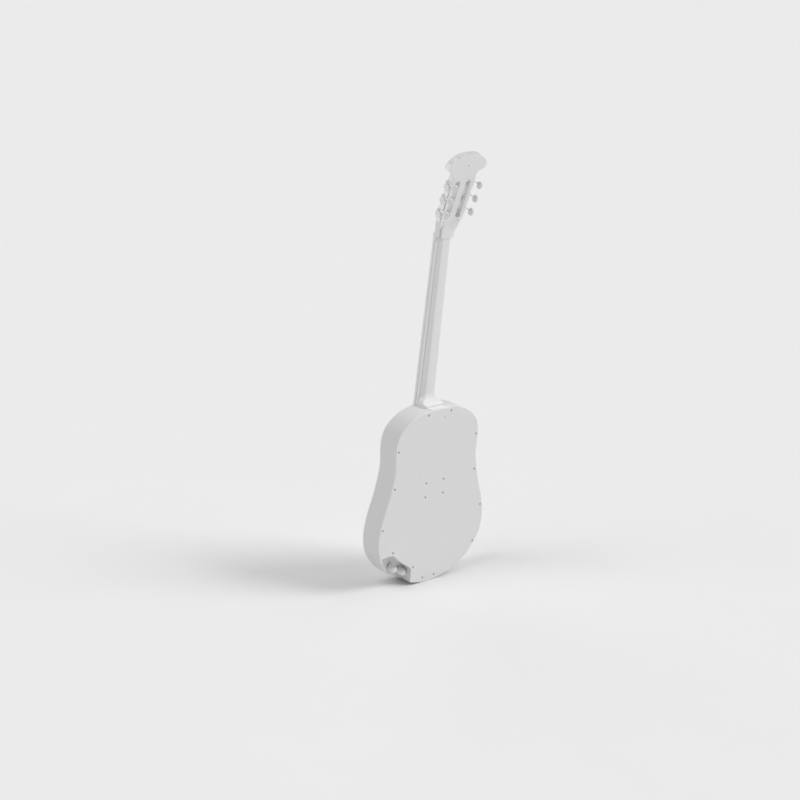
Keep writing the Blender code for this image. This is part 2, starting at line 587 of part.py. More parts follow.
# truss rod, fretboard, laminate, frets, dots, nut
lam = make("neck_laminate", [loft([laminate_section(v) for v in (8, 10, 12, 14.5, 17, 19, 200, END_V - 25, END_V - 18, END_V - 12, END_V + 6)])], finish("neck_laminate", "wood"))
boolean(lam, [seat_cut])
rod = Frame(NECK(0, 0, 0), X, N0, -S0)
truss_cut = cutter("truss_cut", [box(rod, -3.4, 3.4, LAM_T - 1, 12.3, 26, 384)])
boolean(neck, [truss_cut])
make("truss_rod", [box(rod, -3.0, 3.0, LAM_T + 0.6, 12.0, 26.6, 383.4)], finish("truss_rod", "metal", 0.85))
fb = make("fretboard", [loft([[NECK(-wid(v), v, FB_B), NECK(wid(v), v, FB_B), NECK(wid(v), v, -FB_T + 0.7), NECK(wid(v) * 0.5, v, -FB_T + 0.15), NECK(0, v, -FB_T),
                               NECK(-wid(v) * 0.5, v, -FB_T + 0.15), NECK(-wid(v), v, -FB_T + 0.7)] for v in (V0 + 0.3, FB_L)])], finish("fretboard", "wood", 0.96))
frets = []
for i in range(1, N_FRETS + 1):
    v = V0 + SCALE * (1 - 2 ** (-i / 12.0))
    w = wid(v) - 0.4
    sec = [(-1.3, -0.7), (1.3, -0.7), (1.3, 0.1), (0.7, 1.1), (-0.7, 1.1), (-1.3, 0.1)]
    frets.append(loft([[NECK(x, v + p[0], -(FB_T - 0.7 * (abs(x) / w) ** 2) - p[1]) for p in sec] for x in (-w, -w * 0.5, 0, w * 0.5, w)]))
wedge = box(NECK, -26, 26, END_V + 9, FB_L - 1, -1, 4)
boolean(fb, [cutter("frets", frets), cutter("wedge", [wedge])], "UNION")
boolean(fb, [seat_cut])
nutp = [(0.0, -FB_B), (NUT_T, -FB_B), (NUT_T, FB_T - 0.7), (4.6, FB_T + 0.2), (3.0, FB_T + 1.1), (1.0, FB_T + 1.7), (0.0, FB_T + 1.7)]
make("nut", [loft([[NECK(x, V0 - p[0], -p[1]) for p in nutp] for x in (-W_NUT, W_NUT)])], finish("nut", "bone"))

# ================================================================= tuners
for side, sx in (("treble", 1), ("bass", -1)):
    pl = [(46, -16), (143.5, -16), (145, -14.5), (145, -5), (141.5, -1.5), (48, -1.5), (44.5, -5), (44.5, -14.5)]
    fr = Frame(HEADF(0, 0, 0), HS, HN, X * sx)
    plate = make("tuner_plate_%s" % side, [prism(pl, fr, PLATE_X, PLATE_X + 1.2)], finish("tuner_plate_" + side, "metal", 0.95))
    boolean(plate, [post_holes])
    # lugs bent out of the plate carry the worms
    lugs, bores = [], []
    for s in POST_S:
        for n_ in (-15.0, -3.8):
            lf = Frame(HEADF(0, s + KEY_DS, n_), X * sx, HS, HN)
            lugs.append(prism([(PLATE_X + 0.4, -2.3), (KEY_X + 1.2, -2.3), (KEY_X + 2.5, -1.2), (KEY_X + 2.5, 1.2), (KEY_X + 1.2, 2.3), (PLATE_X + 0.4, 2.3)], lf, -0.6, 0.6))
        bores.append(lathe([(0, -40), (1.65, -40), (1.65, 30), (0, 30)], Frame(HEADF(sx * KEY_X, s + KEY_DS, 0), X, HS, HN), 10))
    boolean(plate, [cutter("lugs_" + side, lugs)], "UNION")
    boolean(plate, [cutter("lug_bores_" + side, bores)])
for side, sx in (("treble", 1), ("bass", -1)):
    for i, s in enumerate(POST_S):
        num = {1: (3, 2, 1), -1: (4, 5, 6)}[sx][i]
        # post: gear outside the plate, spindle through the wall, roller in the slot
        fr = Frame(HEADF(0, s, POST_N), HS, HN, X * sx)
        gx = PLATE_X + 1.2 + 0.4
        gear = []
        for k in range(2 * TEETH):
            gr, ga = GEAR_R - (k % 2) * 1.0, 2 * pi * (k + 0.5 * (k % 2)) / (2 * TEETH)
            gear.append((gr * cos(ga), gr * sin(ga)))
        ring = [(3.05 * cos(2 * pi * (k + 0.5) / 28), 3.05 * sin(2 * pi * (k + 0.5) / 28)) for k in range(28)]
        gv, gf = [], []
        rows = [(gear, gx + GEAR_T), (gear, gx), (ring, gx), (ring, SLOT_X + SLOT_W / 2 - 0.6)]
        big = [(ROLL_R * cos(2 * pi * (k + 0.5) / 28), ROLL_R * sin(2 * pi * (k + 0.5) / 28)) for k in range(28)]
        rows += [(big, SLOT_X + SLOT_W / 2 - 0.6), (big, SLOT_X - SLOT_W / 2 + 0.6)]
        pv = []
        for ringp, w in rows:
            pv += [fr(p[0], p[1], w) for p in ringp]
        pf = []
        for r in range(len(rows) - 1):
            for k in range(28):
                pf.append((r * 28 + k, r * 28 + (k + 1) % 28, (r + 1) * 28 + (k + 1) % 28, (r + 1) * 28 + k))
        pf.append(tuple(range(28))[::-1])
        pf.append(tuple(range(5 * 28, 6 * 28)))
        make("string_post_%d" % num, [(pv, pf)], finish("string_post_%d" % num, "metal"), False, origin=HEADF(sx * KEY_X, s, POST_N))
        # key: worm shaft square to the head, with its button behind
        kf = Frame(HEADF(sx * KEY_X, s + KEY_DS, 0), X, HS, HN)
        rowsb = []
        for q in range(9):
            u = -0.985 * cos(pi * q / 8)
            e = (1 - abs(u) ** 2.8) ** (1 / 2.8)
            row = []
            for k in range(16):
                cx, sy = cos(2 * pi * k / 16), sin(2 * pi * k / 16)
                row.append(kf(BUTTON[0] * (0.3 + 0.7 * e) * (1 if cx > 0 else -1) * abs(cx) ** 0.8, BUTTON[1] * e * (1 if sy > 0 else -1) * abs(sy) ** 0.8,
                              BUTTON_N + BUTTON[2] * u))
            rowsb.append(row)
        shaft = lathe([(0, -16.4), (1.3, -16.4), (1.3, -14.0), (WORM_R, -13.4), (WORM_R, -5.2), (1.3, -4.6), (1.3, 7.6), (2.2, 8.4), (2.2, 11.0), (0, 11.0)], kf, 12)
        button = loft(rowsb)
        key = make("tuner_key_%d" % num, [button], finish("tuner_key_%d" % num, "plastic"), True, origin=kf(0, 0, 0))
        boolean(key, [cutter("key_shaft_%d" % num, [shaft])], "UNION")

# ================================================================= strings
def wire(name, points, r, mat):
    cu = bpy.data.curves.new(name, "CURVE")
    cu.dimensions = "3D"
    cu.bevel_depth = r / 1000
    cu.bevel_resolution = 2
    cu.use_fill_caps = True
    sp = cu.splines.new("POLY")
    sp.points.add(len(points) - 1)
    for q, p in zip(sp.points, points):
        q.co = (p[0] / 1000, (p[1] + Y0) / 1000, p[2] / 1000, 1)
    ob = bpy.data.objects.new(name, cu)
    bpy.context.scene.collection.objects.link(ob)
    cu.materials.append(mat)


for i in range(6):
    r = STRING_R[i]
    sx = -1 if i < 3 else 1
    j = (2, 1, 0)[i] if i < 3 else (0, 1, 2)[i - 3]
    s = POST_S[j]
    xr = sx * (15.0, 17.4, 18.4)[j]
    tie0 = FRONT(SADDLE_X[i], BR_Z - 23.5, TIE_W)
    tie1 = FRONT(SADDLE_X[i], BR_Z - 10.5, TIE_W)
    top_w = SADDLE_H + GAP + r
    sad0 = FRONT(SADDLE_X[i], BR_Z - 0.9, top_w - 0.3)
    sad = FRONT(SADDLE_X[i], BR_Z + 0.4, top_w)
    nut_ = NECK(NUT_X[i], V0 - 2.0, -(FB_T + 1.7 + GAP + r))
    rr = ROLL_R + GAP + r
    c = HEADF(xr, s, POST_N)
    pts = [tie0, tie1, tie1 + (sad0 - tie1) * 0.5, sad0, sad] + [sad + (nut_ - sad) * t for t in (0.25, 0.5, 0.75)] + [nut_]
    a0 = 0.35
    first = c - HN * rr * cos(a0) - HS * rr * sin(a0)
    pts += [nut_ + (first - nut_) * 0.08, nut_ + (first - nut_) * 0.55]
    turns = 1.6
    m = 16
    for k in range(m):
        a = -a0 + 2 * pi * turns * k / (m - 1)
        pts.append(c + HS * rr * sin(a) - HN * rr * cos(a) - X * sx * (1.5 * turns * k / (m - 1)))
    wire("string_%d" % (6 - i), pts, r, finish("string_%d" % (6 - i), "metal", 0.9))
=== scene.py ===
import bpy
import bmesh
import numpy as np
from math import sin, cos, pi, radians
from mathutils import Vector, Matrix


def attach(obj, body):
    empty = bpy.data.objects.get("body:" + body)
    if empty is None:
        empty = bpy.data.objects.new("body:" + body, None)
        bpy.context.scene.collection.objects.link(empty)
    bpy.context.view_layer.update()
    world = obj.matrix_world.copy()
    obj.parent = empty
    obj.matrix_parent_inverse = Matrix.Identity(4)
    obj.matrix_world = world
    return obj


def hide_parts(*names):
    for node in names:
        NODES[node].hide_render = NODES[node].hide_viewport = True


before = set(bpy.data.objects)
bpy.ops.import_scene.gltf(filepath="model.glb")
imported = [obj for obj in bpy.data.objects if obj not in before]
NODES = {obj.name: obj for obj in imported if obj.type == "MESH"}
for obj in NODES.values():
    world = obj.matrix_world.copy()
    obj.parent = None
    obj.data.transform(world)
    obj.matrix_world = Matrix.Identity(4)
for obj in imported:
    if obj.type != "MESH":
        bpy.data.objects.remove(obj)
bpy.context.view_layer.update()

scene = bpy.context.scene
Y0 = 20.721             # the back face's plane, in millimetres from the box's centre


# ---------------------------------------------------------------- materials
def ramp(nt, fac, stops):
    r = nt.nodes.new("ShaderNodeValToRGB")
    els = r.color_ramp.elements
    while len(els) < len(stops):
        els.new(0.5)
    for e, (p, c) in zip(els, stops):
        e.position = p
        e.color = (c[0], c[1], c[2], 1)
    nt.links.new(fac, r.inputs["Fac"])
    return r.outputs["Color"]


def grain(name, tone, spread=0.04, scale=(60, 60, 6), rough=0.5, bump=0.05, metal=0.0, tint=(1.0, 1.0, 0.995), fine=900.0, spec=0.35):
    """Pale finish with a long soft figure, a fine tooth and a little wear in the gloss."""
    m = bpy.data.materials.new(name)
    m.use_nodes = True
    nt = m.node_tree
    b = nt.nodes["Principled BSDF"]
    tc = nt.nodes.new("ShaderNodeTexCoord")
    mp = nt.nodes.new("ShaderNodeMapping")
    mp.inputs["Scale"].default_value = scale
    nt.links.new(tc.outputs["Object"], mp.inputs["Vector"])
    n1 = nt.nodes.new("ShaderNodeTexNoise")
    n1.inputs["Scale"].default_value = 1.0
    n1.inputs["Detail"].default_value = 5.0
    n1.inputs["Roughness"].default_value = 0.6
    nt.links.new(mp.outputs["Vector"], n1.inputs["Vector"])
    lo = tuple(max(0.0, (tone - spread) * t) for t in tint)
    hi = tuple(min(1.0, (tone + spread) * t) for t in tint)
    nt.links.new(ramp(nt, n1.outputs["Fac"], [(0.3, lo), (0.7, hi)]), b.inputs["Base Color"])
    n2 = nt.nodes.new("ShaderNodeTexNoise")
    n2.inputs["Scale"].default_value = fine
    n2.inputs["Detail"].default_value = 3.0
    nt.links.new(tc.outputs["Object"], n2.inputs["Vector"])
    bp = nt.nodes.new("ShaderNodeBump")
    bp.inputs["Strength"].default_value = bump
    bp.inputs["Distance"].default_value = 0.0002
    nt.links.new(n2.outputs["Fac"], bp.inputs["Height"])
    nt.links.new(bp.outputs["Normal"], b.inputs["Normal"])
    n3 = nt.nodes.new("ShaderNodeTexNoise")
    n3.inputs["Scale"].default_value = 30.0
    n3.inputs["Detail"].default_value = 4.0
    nt.links.new(tc.outputs["Object"], n3.inputs["Vector"])
    mr = nt.nodes.new("ShaderNodeMapRange")
    mr.inputs["To Min"].default_value = rough - 0.05
    mr.inputs["To Max"].default_value = rough + 0.05
    nt.links.new(n3.outputs["Fac"], mr.inputs["Value"])
    nt.links.new(mr.outputs["Result"], b.inputs["Roughness"])
    b.inputs["Metallic"].default_value = metal
    b.inputs["Specular IOR Level"].default_value = spec
    return m


BACK = grain("back_wood", 0.79, 0.005, (90, 90, 7), 0.6)
SIDE = grain("side_wood", 0.695, 0.008, (60, 60, 10), 0.6)
TOPM = grain("top_wood", 0.77, 0.012, (110, 90, 7), 0.55)
NECKM = grain("neck_wood", 0.83, 0.010, (120, 120, 8), 0.5)
HEADM = grain("head_wood", 0.86, 0.008, (120, 120, 8), 0.5)
# painted shade: a slightly darker, less glossy tone for the heel's upward faces, also used as the heel foot's tone
HEEL_WOOD_SHADE = grain("heel_wood_and_painted_shade", 0.80, 0.008, (120, 120, 60), 0.6, 0.05, 0.0, (1.0, 1.0, 0.995), 900.0, 0.2)
# painted shade: the head's side faces near the nut are darker
HEAD_FLANK_SHADE = grain("head_lower_flank_painted_shade", 0.76, 0.008, (120, 120, 8), 0.55)
# painted shade: the shield's side walls are darker, as shade in the crease beside the cut channel
SHIELD_SIDE_SHADE = grain("shield_side_painted_shade", 0.60, 0.010, (120, 120, 8), 0.65)
# painted shade: the head's top end faces are darker, the treble half a little less dark in the next tone
HEAD_END_SHADE = grain("head_end_painted_shade", 0.60, 0.008, (120, 120, 60), 0.6)
HEAD_END_PALE_SHADE = grain("head_end_lighter_painted_shade", 0.65, 0.008, (120, 120, 60), 0.6)
# painted shade: the treble lobe's sloping top faces are darker than the head
HEAD_LOBE_SHADE = grain("head_lobe_painted_shade", 0.78, 0.008, (120, 120, 60), 0.6)
# painted light: the treble side's upper flank faces are lighter than the head
HEAD_EDGE_LIGHT = grain("head_edge_painted_light", 0.95, 0.008, (120, 120, 60), 0.6)
FACE = grain("face_veneer", 0.74, 0.012, (110, 110, 8), 0.5)
LAM = grain("laminate_wood", 0.88, 0.012, (140, 140, 9), 0.5)
FBM = grain("fretboard_wood", 0.79, 0.015, (160, 160, 10), 0.5)
BRM = grain("bridge_wood", 0.68, 0.015, (10, 160, 160), 0.5)
INNER = grain("inner_wood", 0.66, 0.03, (80, 80, 10), 0.7)
CHROME = grain("tuner_metal", 0.93, 0.012, (300, 300, 300), 0.34, 0.02, 0.6, (1, 1, 1))
GEARM = grain("gear_metal", 0.86, 0.012, (300, 300, 300), 0.45, 0.02, 0.12, (1, 1, 1))
BUTTONM = grain("button_metal", 0.75, 0.008, (200, 200, 200), 0.5, 0.02, 0.15, (1, 1, 1))
STEEL = grain("satin_steel", 0.66, 0.02, (300, 300, 60), 0.38, 0.04, 0.5, (1, 1, 1))
FRETM = grain("fret_metal", 0.78, 0.02, (300, 300, 300), 0.3, 0.02, 0.8, (1, 1, 1))
SCREW = grain("screw_steel", 0.40, 0.03, (400, 400, 400), 0.4, 0.05, 0.5, (1, 1, 1))
SCREWP = grain("screw_pale", 0.80, 0.02, (400, 400, 400), 0.35, 0.03, 0.7, (1, 1, 1))
KNOBM = grain("knob_plastic", 0.86, 0.010, (200, 200, 200), 0.42)
ROLLM = grain("roller", 0.78, 0.015, (200, 200, 200), 0.45)
BONE = grain("bone", 0.80, 0.015, (200, 200, 40), 0.4, 0.03, 0.0, (1, 1, 0.985))
POCK = grain("pocket_plastic", 0.84, 0.010, (150, 150, 150), 0.6)
# painted shade: the outer part of the recess floor's ramp is darker
POCKET_RAMP_SHADE = grain("pocket_ramp_painted_shade", 0.60, 0.010, (150, 150, 150), 0.6)
DARK = grain("dot_dark", 0.12, 0.02, (400, 400, 400), 0.5)
INLAY = grain("inlay_pale", 0.82, 0.015, (300, 300, 300), 0.35)
RING_A = grain("rosette_dark", 0.42, 0.02, (300, 300, 300), 0.5)
RING_B = grain("rosette_mid", 0.60, 0.03, (220, 220, 220), 0.5)

LOOK = {"neck_laminate": LAM, "bridge": BRM, "saddle": BONE, "truss_rod": STEEL, "battery": STEEL, "preamp": POCK, "saddle_pickup": STEEL,
        "volume_pot": STEEL, "tone_pot": STEEL}
for name, ob in NODES.items():
    ob.data.materials.clear()
    ob.data.materials.append(STEEL if name.startswith("string_") else LOOK.get(name, INNER))

# ---------------------------------------------------------------- frames and outlines, the same as the solids'
X, Y, Z = np.array([1.0, 0, 0]), np.array([0, 1.0, 0]), np.array([0, 0, 1.0])


class Frame:
    def __init__(self, o, a, b, c):
        self.o, self.a, self.b, self.c = (np.array(v, float) for v in (o, a, b, c))

    def __call__(self, u, v, w):
        return self.o + self.a * u + self.b * v + self.c * w


GAP = 0.3
BODY_D, BODY_L, WALL, PLATE_T = 59.5, 435.5, 12.0, 3.0
STATIONS = [(0, 0), (3, 32), (16, 76), (44, 120), (88, 152.5), (135, 161.2), (184, 154), (240, 136.5),
            (300, 124.6), (348, 126), (372, 123.8), (388.5, 118), (399, 110.8), (408, 101.6), (418.3, 87.6), (425.3, 74),
            (431, 57.5), (434.3, 41), (435.3, 22), (435.5, 0)]
NOTCH_D = 33.5
NOTCH = [(176, 84), (133, 93.5), (112, 91.5), (90, 68), (61, 49), (56, 42), (56.5, 20), (57.5, -20)]
HOLE_R, HOLE_Z = 44.0, 322.0
SCALE, V0 = 648.0, -4.0
NECK_TILT, HEAD_TILT = radians(3.0), radians(18.07)
NUT_Y, NUT_Z, NECK_L = -38.4, 840.3, 402.0
W_NUT, W_BODY, FB_T, FB_B, LAM_T, FB_L, NUT_T = 22.4, 28.4, 5.4, 2.0, 8.2, 452.0, 6.3
HEAD_T, FACE_T = 16.5, 2.0
HEAD = [(21.9, -13), (22.0, -4), (22.0, 3), (22.3, 9), (24.6, 20), (26.3, 26), (28.0, 32), (29.8, 38), (31.3, 44), (32.2, 52), (32.3, 73), (32.6, 110),
        (33.4, 143), (34, 151), (33.2, 160), (34.2, 165), (38, 168.8), (43.5, 171.6), (50, 174.8), (53.9, 179.5), (54.3, 185),
        (51.5, 193), (44, 201.3), (33, 208.3), (19, 212.3), (0, 213.8)]
SLOT_X, SLOT_W, SLOT_S0, SLOT_S1 = 15.9, 14.2, 50.5, 148.5
POST_S, POST_N, KEY_DS, ROLL_R = (131.4, 96.6, 62.0), -10.2, 10.2, 5.0
KEY_X, PLATE_X, TEETH, GEAR_R, GEAR_T, WORM_R = 37.0, 33.8, 14, 8.4, 3.4, 1.5
BUTTON, BUTTON_N = (4.2, 9.0, 6.3), 15.3
KNOBS = [(97.3, 47.3), (68.1, 32.5)]
NUT_X = (-18.6, -11.2, -3.75, 3.75, 11.2, 18.6)
STRING_R = (0.62, 0.52, 0.43, 0.36, 0.30, 0.26)

BODY = Frame((0, 0, 0), X, Z, Y)
S0 = np.array([0, sin(NECK_TILT), cos(NECK_TILT)])
N0 = np.array([0, cos(NECK_TILT), -sin(NECK_TILT)])
NECK = Frame((0, NUT_Y, NUT_Z), X, -S0, N0)
HS = np.array([0, sin(HEAD_TILT), cos(HEAD_TILT)])
HN = np.array([0, cos(HEAD_TILT), -sin(HEAD_TILT)])
HEADF = Frame((0, -25.92, 841.34), X, HS, HN)
FRONT = Frame((0, -BODY_D, 0), X, Z, -Y)
END_V = (NUT_Z - BODY_L - GAP) / cos(NECK_TILT)


# ---------------------------------------------------------------- mesh helpers
def raw(name, parts, mat):
    bm = bmesh.new()
    for verts, faces in parts:
        vs = [bm.verts.new((v[0] / 1000, (v[1] + Y0) / 1000, v[2] / 1000)) for v in verts]
        for f in faces:
            if len(set(f)) > 2:
                try:
                    bm.faces.new([vs[i] for i in f])
                except ValueError:
                    pass
    bmesh.ops.recalc_face_normals(bm, faces=bm.faces)
    me = bpy.data.meshes.new(name)
    bm.to_mesh(me)
    bm.free()
    me.materials.append(mat)
    ob = bpy.data.objects.new(name, me)
    scene.collection.objects.link(ob)
    return ob


def settle(ob, angle):
    """Applies the object's modifiers, then gives flat faces flat normals and curved ones smooth normals."""
    cutters = [m.object for m in ob.modifiers if m.type == "BOOLEAN"]
    for step in (0, 1):
        dg = bpy.context.evaluated_depsgraph_get()
        me = bpy.data.meshes.new_from_object(ob.evaluated_get(dg), preserve_all_data_layers=True, depsgraph=dg)
        mat = ob.data.materials[0]
        ob.modifiers.clear()
        ob.data = me
        me.materials.clear()
        me.materials.append(mat)
        if step == 0:
            for c in cutters:
                bpy.data.objects.remove(c, do_unlink=True)
            for p in me.polygons:
                p.use_smooth = True
                p.material_index = 0
            me.set_sharp_from_angle(angle=radians(angle))
            w = ob.modifiers.new("weighted", "WEIGHTED_NORMAL")
            w.keep_sharp = True
            w.mode = "FACE_AREA"
            w.weight = 60
    return ob


def carved(name, parts, away, mat):
    """A closed tool with another taken out of it."""
    ob, c = raw(name, parts, mat), raw(name + "_away", away, mat)
    m = ob.modifiers.new("b", "BOOLEAN")
    m.operation, m.solver, m.object = "DIFFERENCE", "EXACT", c
    dg = bpy.context.evaluated_depsgraph_get()
    me = bpy.data.meshes.new_from_object(ob.evaluated_get(dg), preserve_all_data_layers=True, depsgraph=dg)
    ob.modifiers.clear()
    ob.data = me
    bpy.data.objects.remove(c, do_unlink=True)
    return ob


def piece(name, parts, mat, body="guitar", nodes=(), cut=(), join=(), angle=32, keep=(), first=(), extra=()):
    """extra lists (material, test): each test takes a face's middle, in millimetres, and its normal."""
    ob = raw(name, parts, mat)
    steps = [("DIFFERENCE", q) for q in first] + [("UNION", q) for q in join] + [("INTERSECT", q) for q in keep] + [("DIFFERENCE", q) for q in cut]
    for k, (op, group) in enumerate(steps):
        m = ob.modifiers.new("b%d" % k, "BOOLEAN")
        m.operation = op
        m.solver = "EXACT"
        m.object = group if isinstance(group, bpy.types.Object) else raw("%s_tool%d" % (name, k), group, mat)
    settle(ob, angle)
    for k, (m, test) in enumerate(extra):
        ob.data.materials.append(m)
        for p in ob.data.polygons:
            if test(np.array(p.center) * 1000 - (0, Y0, 0), np.array(p.normal)):
                p.material_index = k + 1
    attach(ob, body)
    if nodes:
        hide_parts(*nodes)
    return ob


def loft(sections):
    n = len(sections[0])
    v = [p for s in sections for p in s]
    f = [(k * n + i, k * n + (i + 1) % n, (k + 1) * n + (i + 1) % n, (k + 1) * n + i) for k in range(len(sections) - 1) for i in range(n)]
    return v, f + [tuple(range(n))[::-1], tuple(range((len(sections) - 1) * n, len(sections) * n))]


def prism(poly, fr, w0, w1):
    return loft([[fr(p[0], p[1], w) for p in poly] for w in (w0, w1)])


def box(fr, u0, u1, v0, v1, w0, w1):
    return prism([(u0, v0), (u1, v0), (u1, v1), (u0, v1)], fr, w0, w1)


def lathe(profile, fr, n=48, warp=None):
    """profile of (radius, w) pairs turned about fr's w axis."""
    v, f, rows = [], [], []
    for r, w in profile:
        if r < 1e-6:
            rows.append([len(v)] * n)
            v.append(fr(0, 0, w))
        else:
            rows.append(list(range(len(v), len(v) + n)))
            for k in range(n):
                a = 2 * pi * k / n
                q = r if warp is None else warp(r, a, w)
                v.append(fr(q * cos(a), q * sin(a), w))
    for a, b in zip(rows, rows[1:]):
        for k in range(n):
            q = [a[k], a[(k + 1) % n], b[(k + 1) % n], b[k]]
            q = [x for i, x in enumerate(q) if x not in q[:i]]
            if len(q) > 2:
                f.append(tuple(q))
    for row, flip in ((rows[0], True), (rows[-1], False)):
        if len(set(row)) > 1:
            f.append(tuple(row[::-1] if flip else row))
    return v, f


def frame_at(o, axis):
    c = np.array(axis, float)
    c = c / np.linalg.norm(c)
    ref = Z if abs(c[2]) < 0.9 else X
    b = ref - c * (ref @ c)
    b = b / np.linalg.norm(b)
    return Frame(o, np.cross(b, c), b, c)


def catmull(points, per):
    p = [np.array(q, float) for q in points]
    p = [2 * p[0] - p[1]] + p + [2 * p[-1] - p[-2]]
    out = []
    for i in range(1, len(p) - 2):
        for k in range(per):
            t = k / per
            out.append(0.5 * ((2 * p[i]) + (-p[i - 1] + p[i + 1]) * t + (2 * p[i - 1] - 5 * p[i] + 4 * p[i + 1] - p[i + 2]) * t * t
                              + (-p[i - 1] + 3 * p[i] - 3 * p[i + 1] + p[i + 2]) * t ** 3))
    out.append(p[-2])
    return out


def resample(pts, n):
    pts = np.array(pts)
    d = np.r_[0, np.cumsum(np.linalg.norm(np.diff(pts, axis=0), axis=1))]
    s = np.linspace(0, d[-1], n)
    return np.c_[np.interp(s, d, pts[:, 0]), np.interp(s, d, pts[:, 1])]


def offset(poly, d):
    p = np.array(poly, float)
    n = len(p)
    nx = np.roll(p, -1, axis=0)
    sg = 1 if 0.5 * np.sum(p[:, 0] * nx[:, 1] - nx[:, 0] * p[:, 1]) > 0 else -1
    out = []
    for i in range(n):
        e0, e1 = p[i] - p[i - 1], p[(i + 1) % n] - p[i]
        e0, e1 = e0 / np.linalg.norm(e0), e1 / np.linalg.norm(e1)
        n0, n1 = np.array([-e0[1], e0[0]]) * sg, np.array([-e1[1], e1[0]]) * sg
        b = n0 + n1
        out.append(tuple(p[i] + b / max(1e-9, b @ n0) * d))
    return out


def pillow(poly, fr, w0, w1, r0=0.0, r1=0.0, n=4):
    """A plate between w0 and w1 whose edges are rounded over."""
    rows = []
    if r0 > 0:
        rows += [(r0 * (1 - sin(pi / 2 * k / n)), w0 + r0 * (1 - cos(pi / 2 * k / n))) for k in range(n + 1)]
    else:
        rows.append((0.0, w0))
    if r1 > 0:
        rows += [(r1 * (1 - cos(pi / 2 * k / n)), w1 - r1 * (1 - sin(pi / 2 * k / n))) for k in range(n + 1)]
    else:
        rows.append((0.0, w1))
    return loft([[fr(q[0], q[1], w) for q in (offset(poly, d) if d else poly)] for d, w in rows])


def flared(poly, fr, w0, w1, lip, r=0.7, n=3):
    """A cutter from w0 out past w1, opening a little as it nears the surface at lip."""
    rows = [(0.0, w0)] + [(-r * (1 - cos(pi / 2 * k / n)), lip - r * (1 - sin(pi / 2 * k / n))) for k in range(n + 1)] + [(-r, w1)]
    return loft([[fr(q[0], q[1], w) for q in (offset(poly, d) if d else poly)] for d, w in rows])


def round_corners(poly, r, k=3):
    p = [np.array(q, float) for q in poly]
    out = [tuple(p[0])]
    for i in range(1, len(p) - 1):
        a, b = p[i - 1] - p[i], p[i + 1] - p[i]
        c = min(r, 0.45 * np.linalg.norm(a), 0.45 * np.linalg.norm(b))
        a, b = p[i] + a / np.linalg.norm(a) * c, p[i] + b / np.linalg.norm(b) * c
        for j in range(k + 1):
            t = j / k
            out.append(tuple((1 - t) ** 2 * a + 2 * t * (1 - t) * p[i] + t * t * b))
    out.append(tuple(p[-1]))
    return out


def circle(cx, cy, r, n):
    return [(cx + r * cos(2 * pi * k / n), cy + r * sin(2 * pi * k / n)) for k in range(n)]


def rounded(u0, u1, v0, v1, r, n=6):
    out = []
    for cx, cy, a0 in ((u1 - r, v1 - r, 0), (u0 + r, v1 - r, pi / 2), (u0 + r, v0 + r, pi), (u1 - r, v0 + r, 1.5 * pi)):
        out += [(cx + r * cos(a0 + pi / 2 * k / n), cy + r * sin(a0 + pi / 2 * k / n)) for k in range(n + 1)]
    return out


half = [(w, z) for z, w in STATIONS]
mirror = [(-w, z) for w, z in half]
N_OUT = 480
right = resample(catmull([mirror[1]] + half + [mirror[-2]], 24)[24:-24], N_OUT // 2 + 1)
OUT = [(p[0] * 0.9991, p[1]) for p in right] + [(-p[0] * 0.9991, p[1]) for p in right[-2:0:-1]]
NOTCH_LINE = round_corners(NOTCH, 11, 8)


def notch_region(grow):
    p = np.array(NOTCH_LINE)
    out = []
    for i in range(len(p)):
        e = p[min(i + 1, len(p) - 1)] - p[max(i - 1, 0)]
        e = e / np.linalg.norm(e)
        nrm = np.array([e[1], -e[0]])
        out.append(tuple(p[i] + nrm * grow * (-1 if nrm @ np.array([1, -1]) > 0 else 1)))
    return out + [(60, -60), (215, -60), (215, 84)]


# ================================================================= body
def screw_seat(x, z):
    return lathe([(0, 1.0), (2.62, 1.0), (2.62, -0.35), (1.5, -1.6), (1.5, -12.4), (0, -12.5)], frame_at((x, 0, z), Y), 32)


SCREWS = [(119.8, 352.5), (123.7, 261.6), (152.6, 164.0), (18.0, 12.5), (34.5, 427.0)]
SCREWS = [(s * x, z) for x, z in SCREWS for s in (1, -1)] + [(s * 27.2, z) for z in (256.4, 221.4) for s in (1, -1)]
SCREWS += [(-136.6, 72.0), (116.6, 99.3), (50.6, 47.5), (-15.7, 414.0)]

piece("back_panel", [pillow(OUT, BODY, -PLATE_T, 0, 0.0, 0.4)], BACK, nodes=["back_plate"],
      cut=[[flared(notch_region(0), BODY, -9, 6, 0.0, 0.6)], [screw_seat(x, z) for x, z in SCREWS]])
INNER_LINE = offset(OUT, WALL)
n = len(OUT)
rv = [BODY(p[0], p[1], w) for w in (-BODY_D + PLATE_T + 0.1, -PLATE_T - 0.1) for p in OUT] + [BODY(p[0], p[1], w) for w in (-BODY_D + PLATE_T + 0.1, -PLATE_T - 0.1) for p in INNER_LINE]
rf = []
for i in range(n):
    j = (i + 1) % n
    rf += [(i, j, n + j, n + i), (2 * n + j, 2 * n + i, 3 * n + i, 3 * n + j), (j, i, 2 * n + i, 2 * n + j), (n + i, n + j, 3 * n + j, 3 * n + i)]
piece("side_rim", [(rv, rf)], SIDE, nodes=["body_rim"], cut=[[prism(notch_region(3 + GAP), BODY, -NOTCH_D - 2.5 - GAP, 6)]])
piece("soundboard", [pillow(OUT, BODY, -BODY_D, -BODY_D + PLATE_T, 0.9, 0.0)], TOPM, nodes=["top_plate"],
      cut=[[flared(circle(0, HOLE_Z, HOLE_R, 160), Frame((0, 0, 0), X, Z, -Y), BODY_D - 8, BODY_D + 5, BODY_D, 0.6)]])
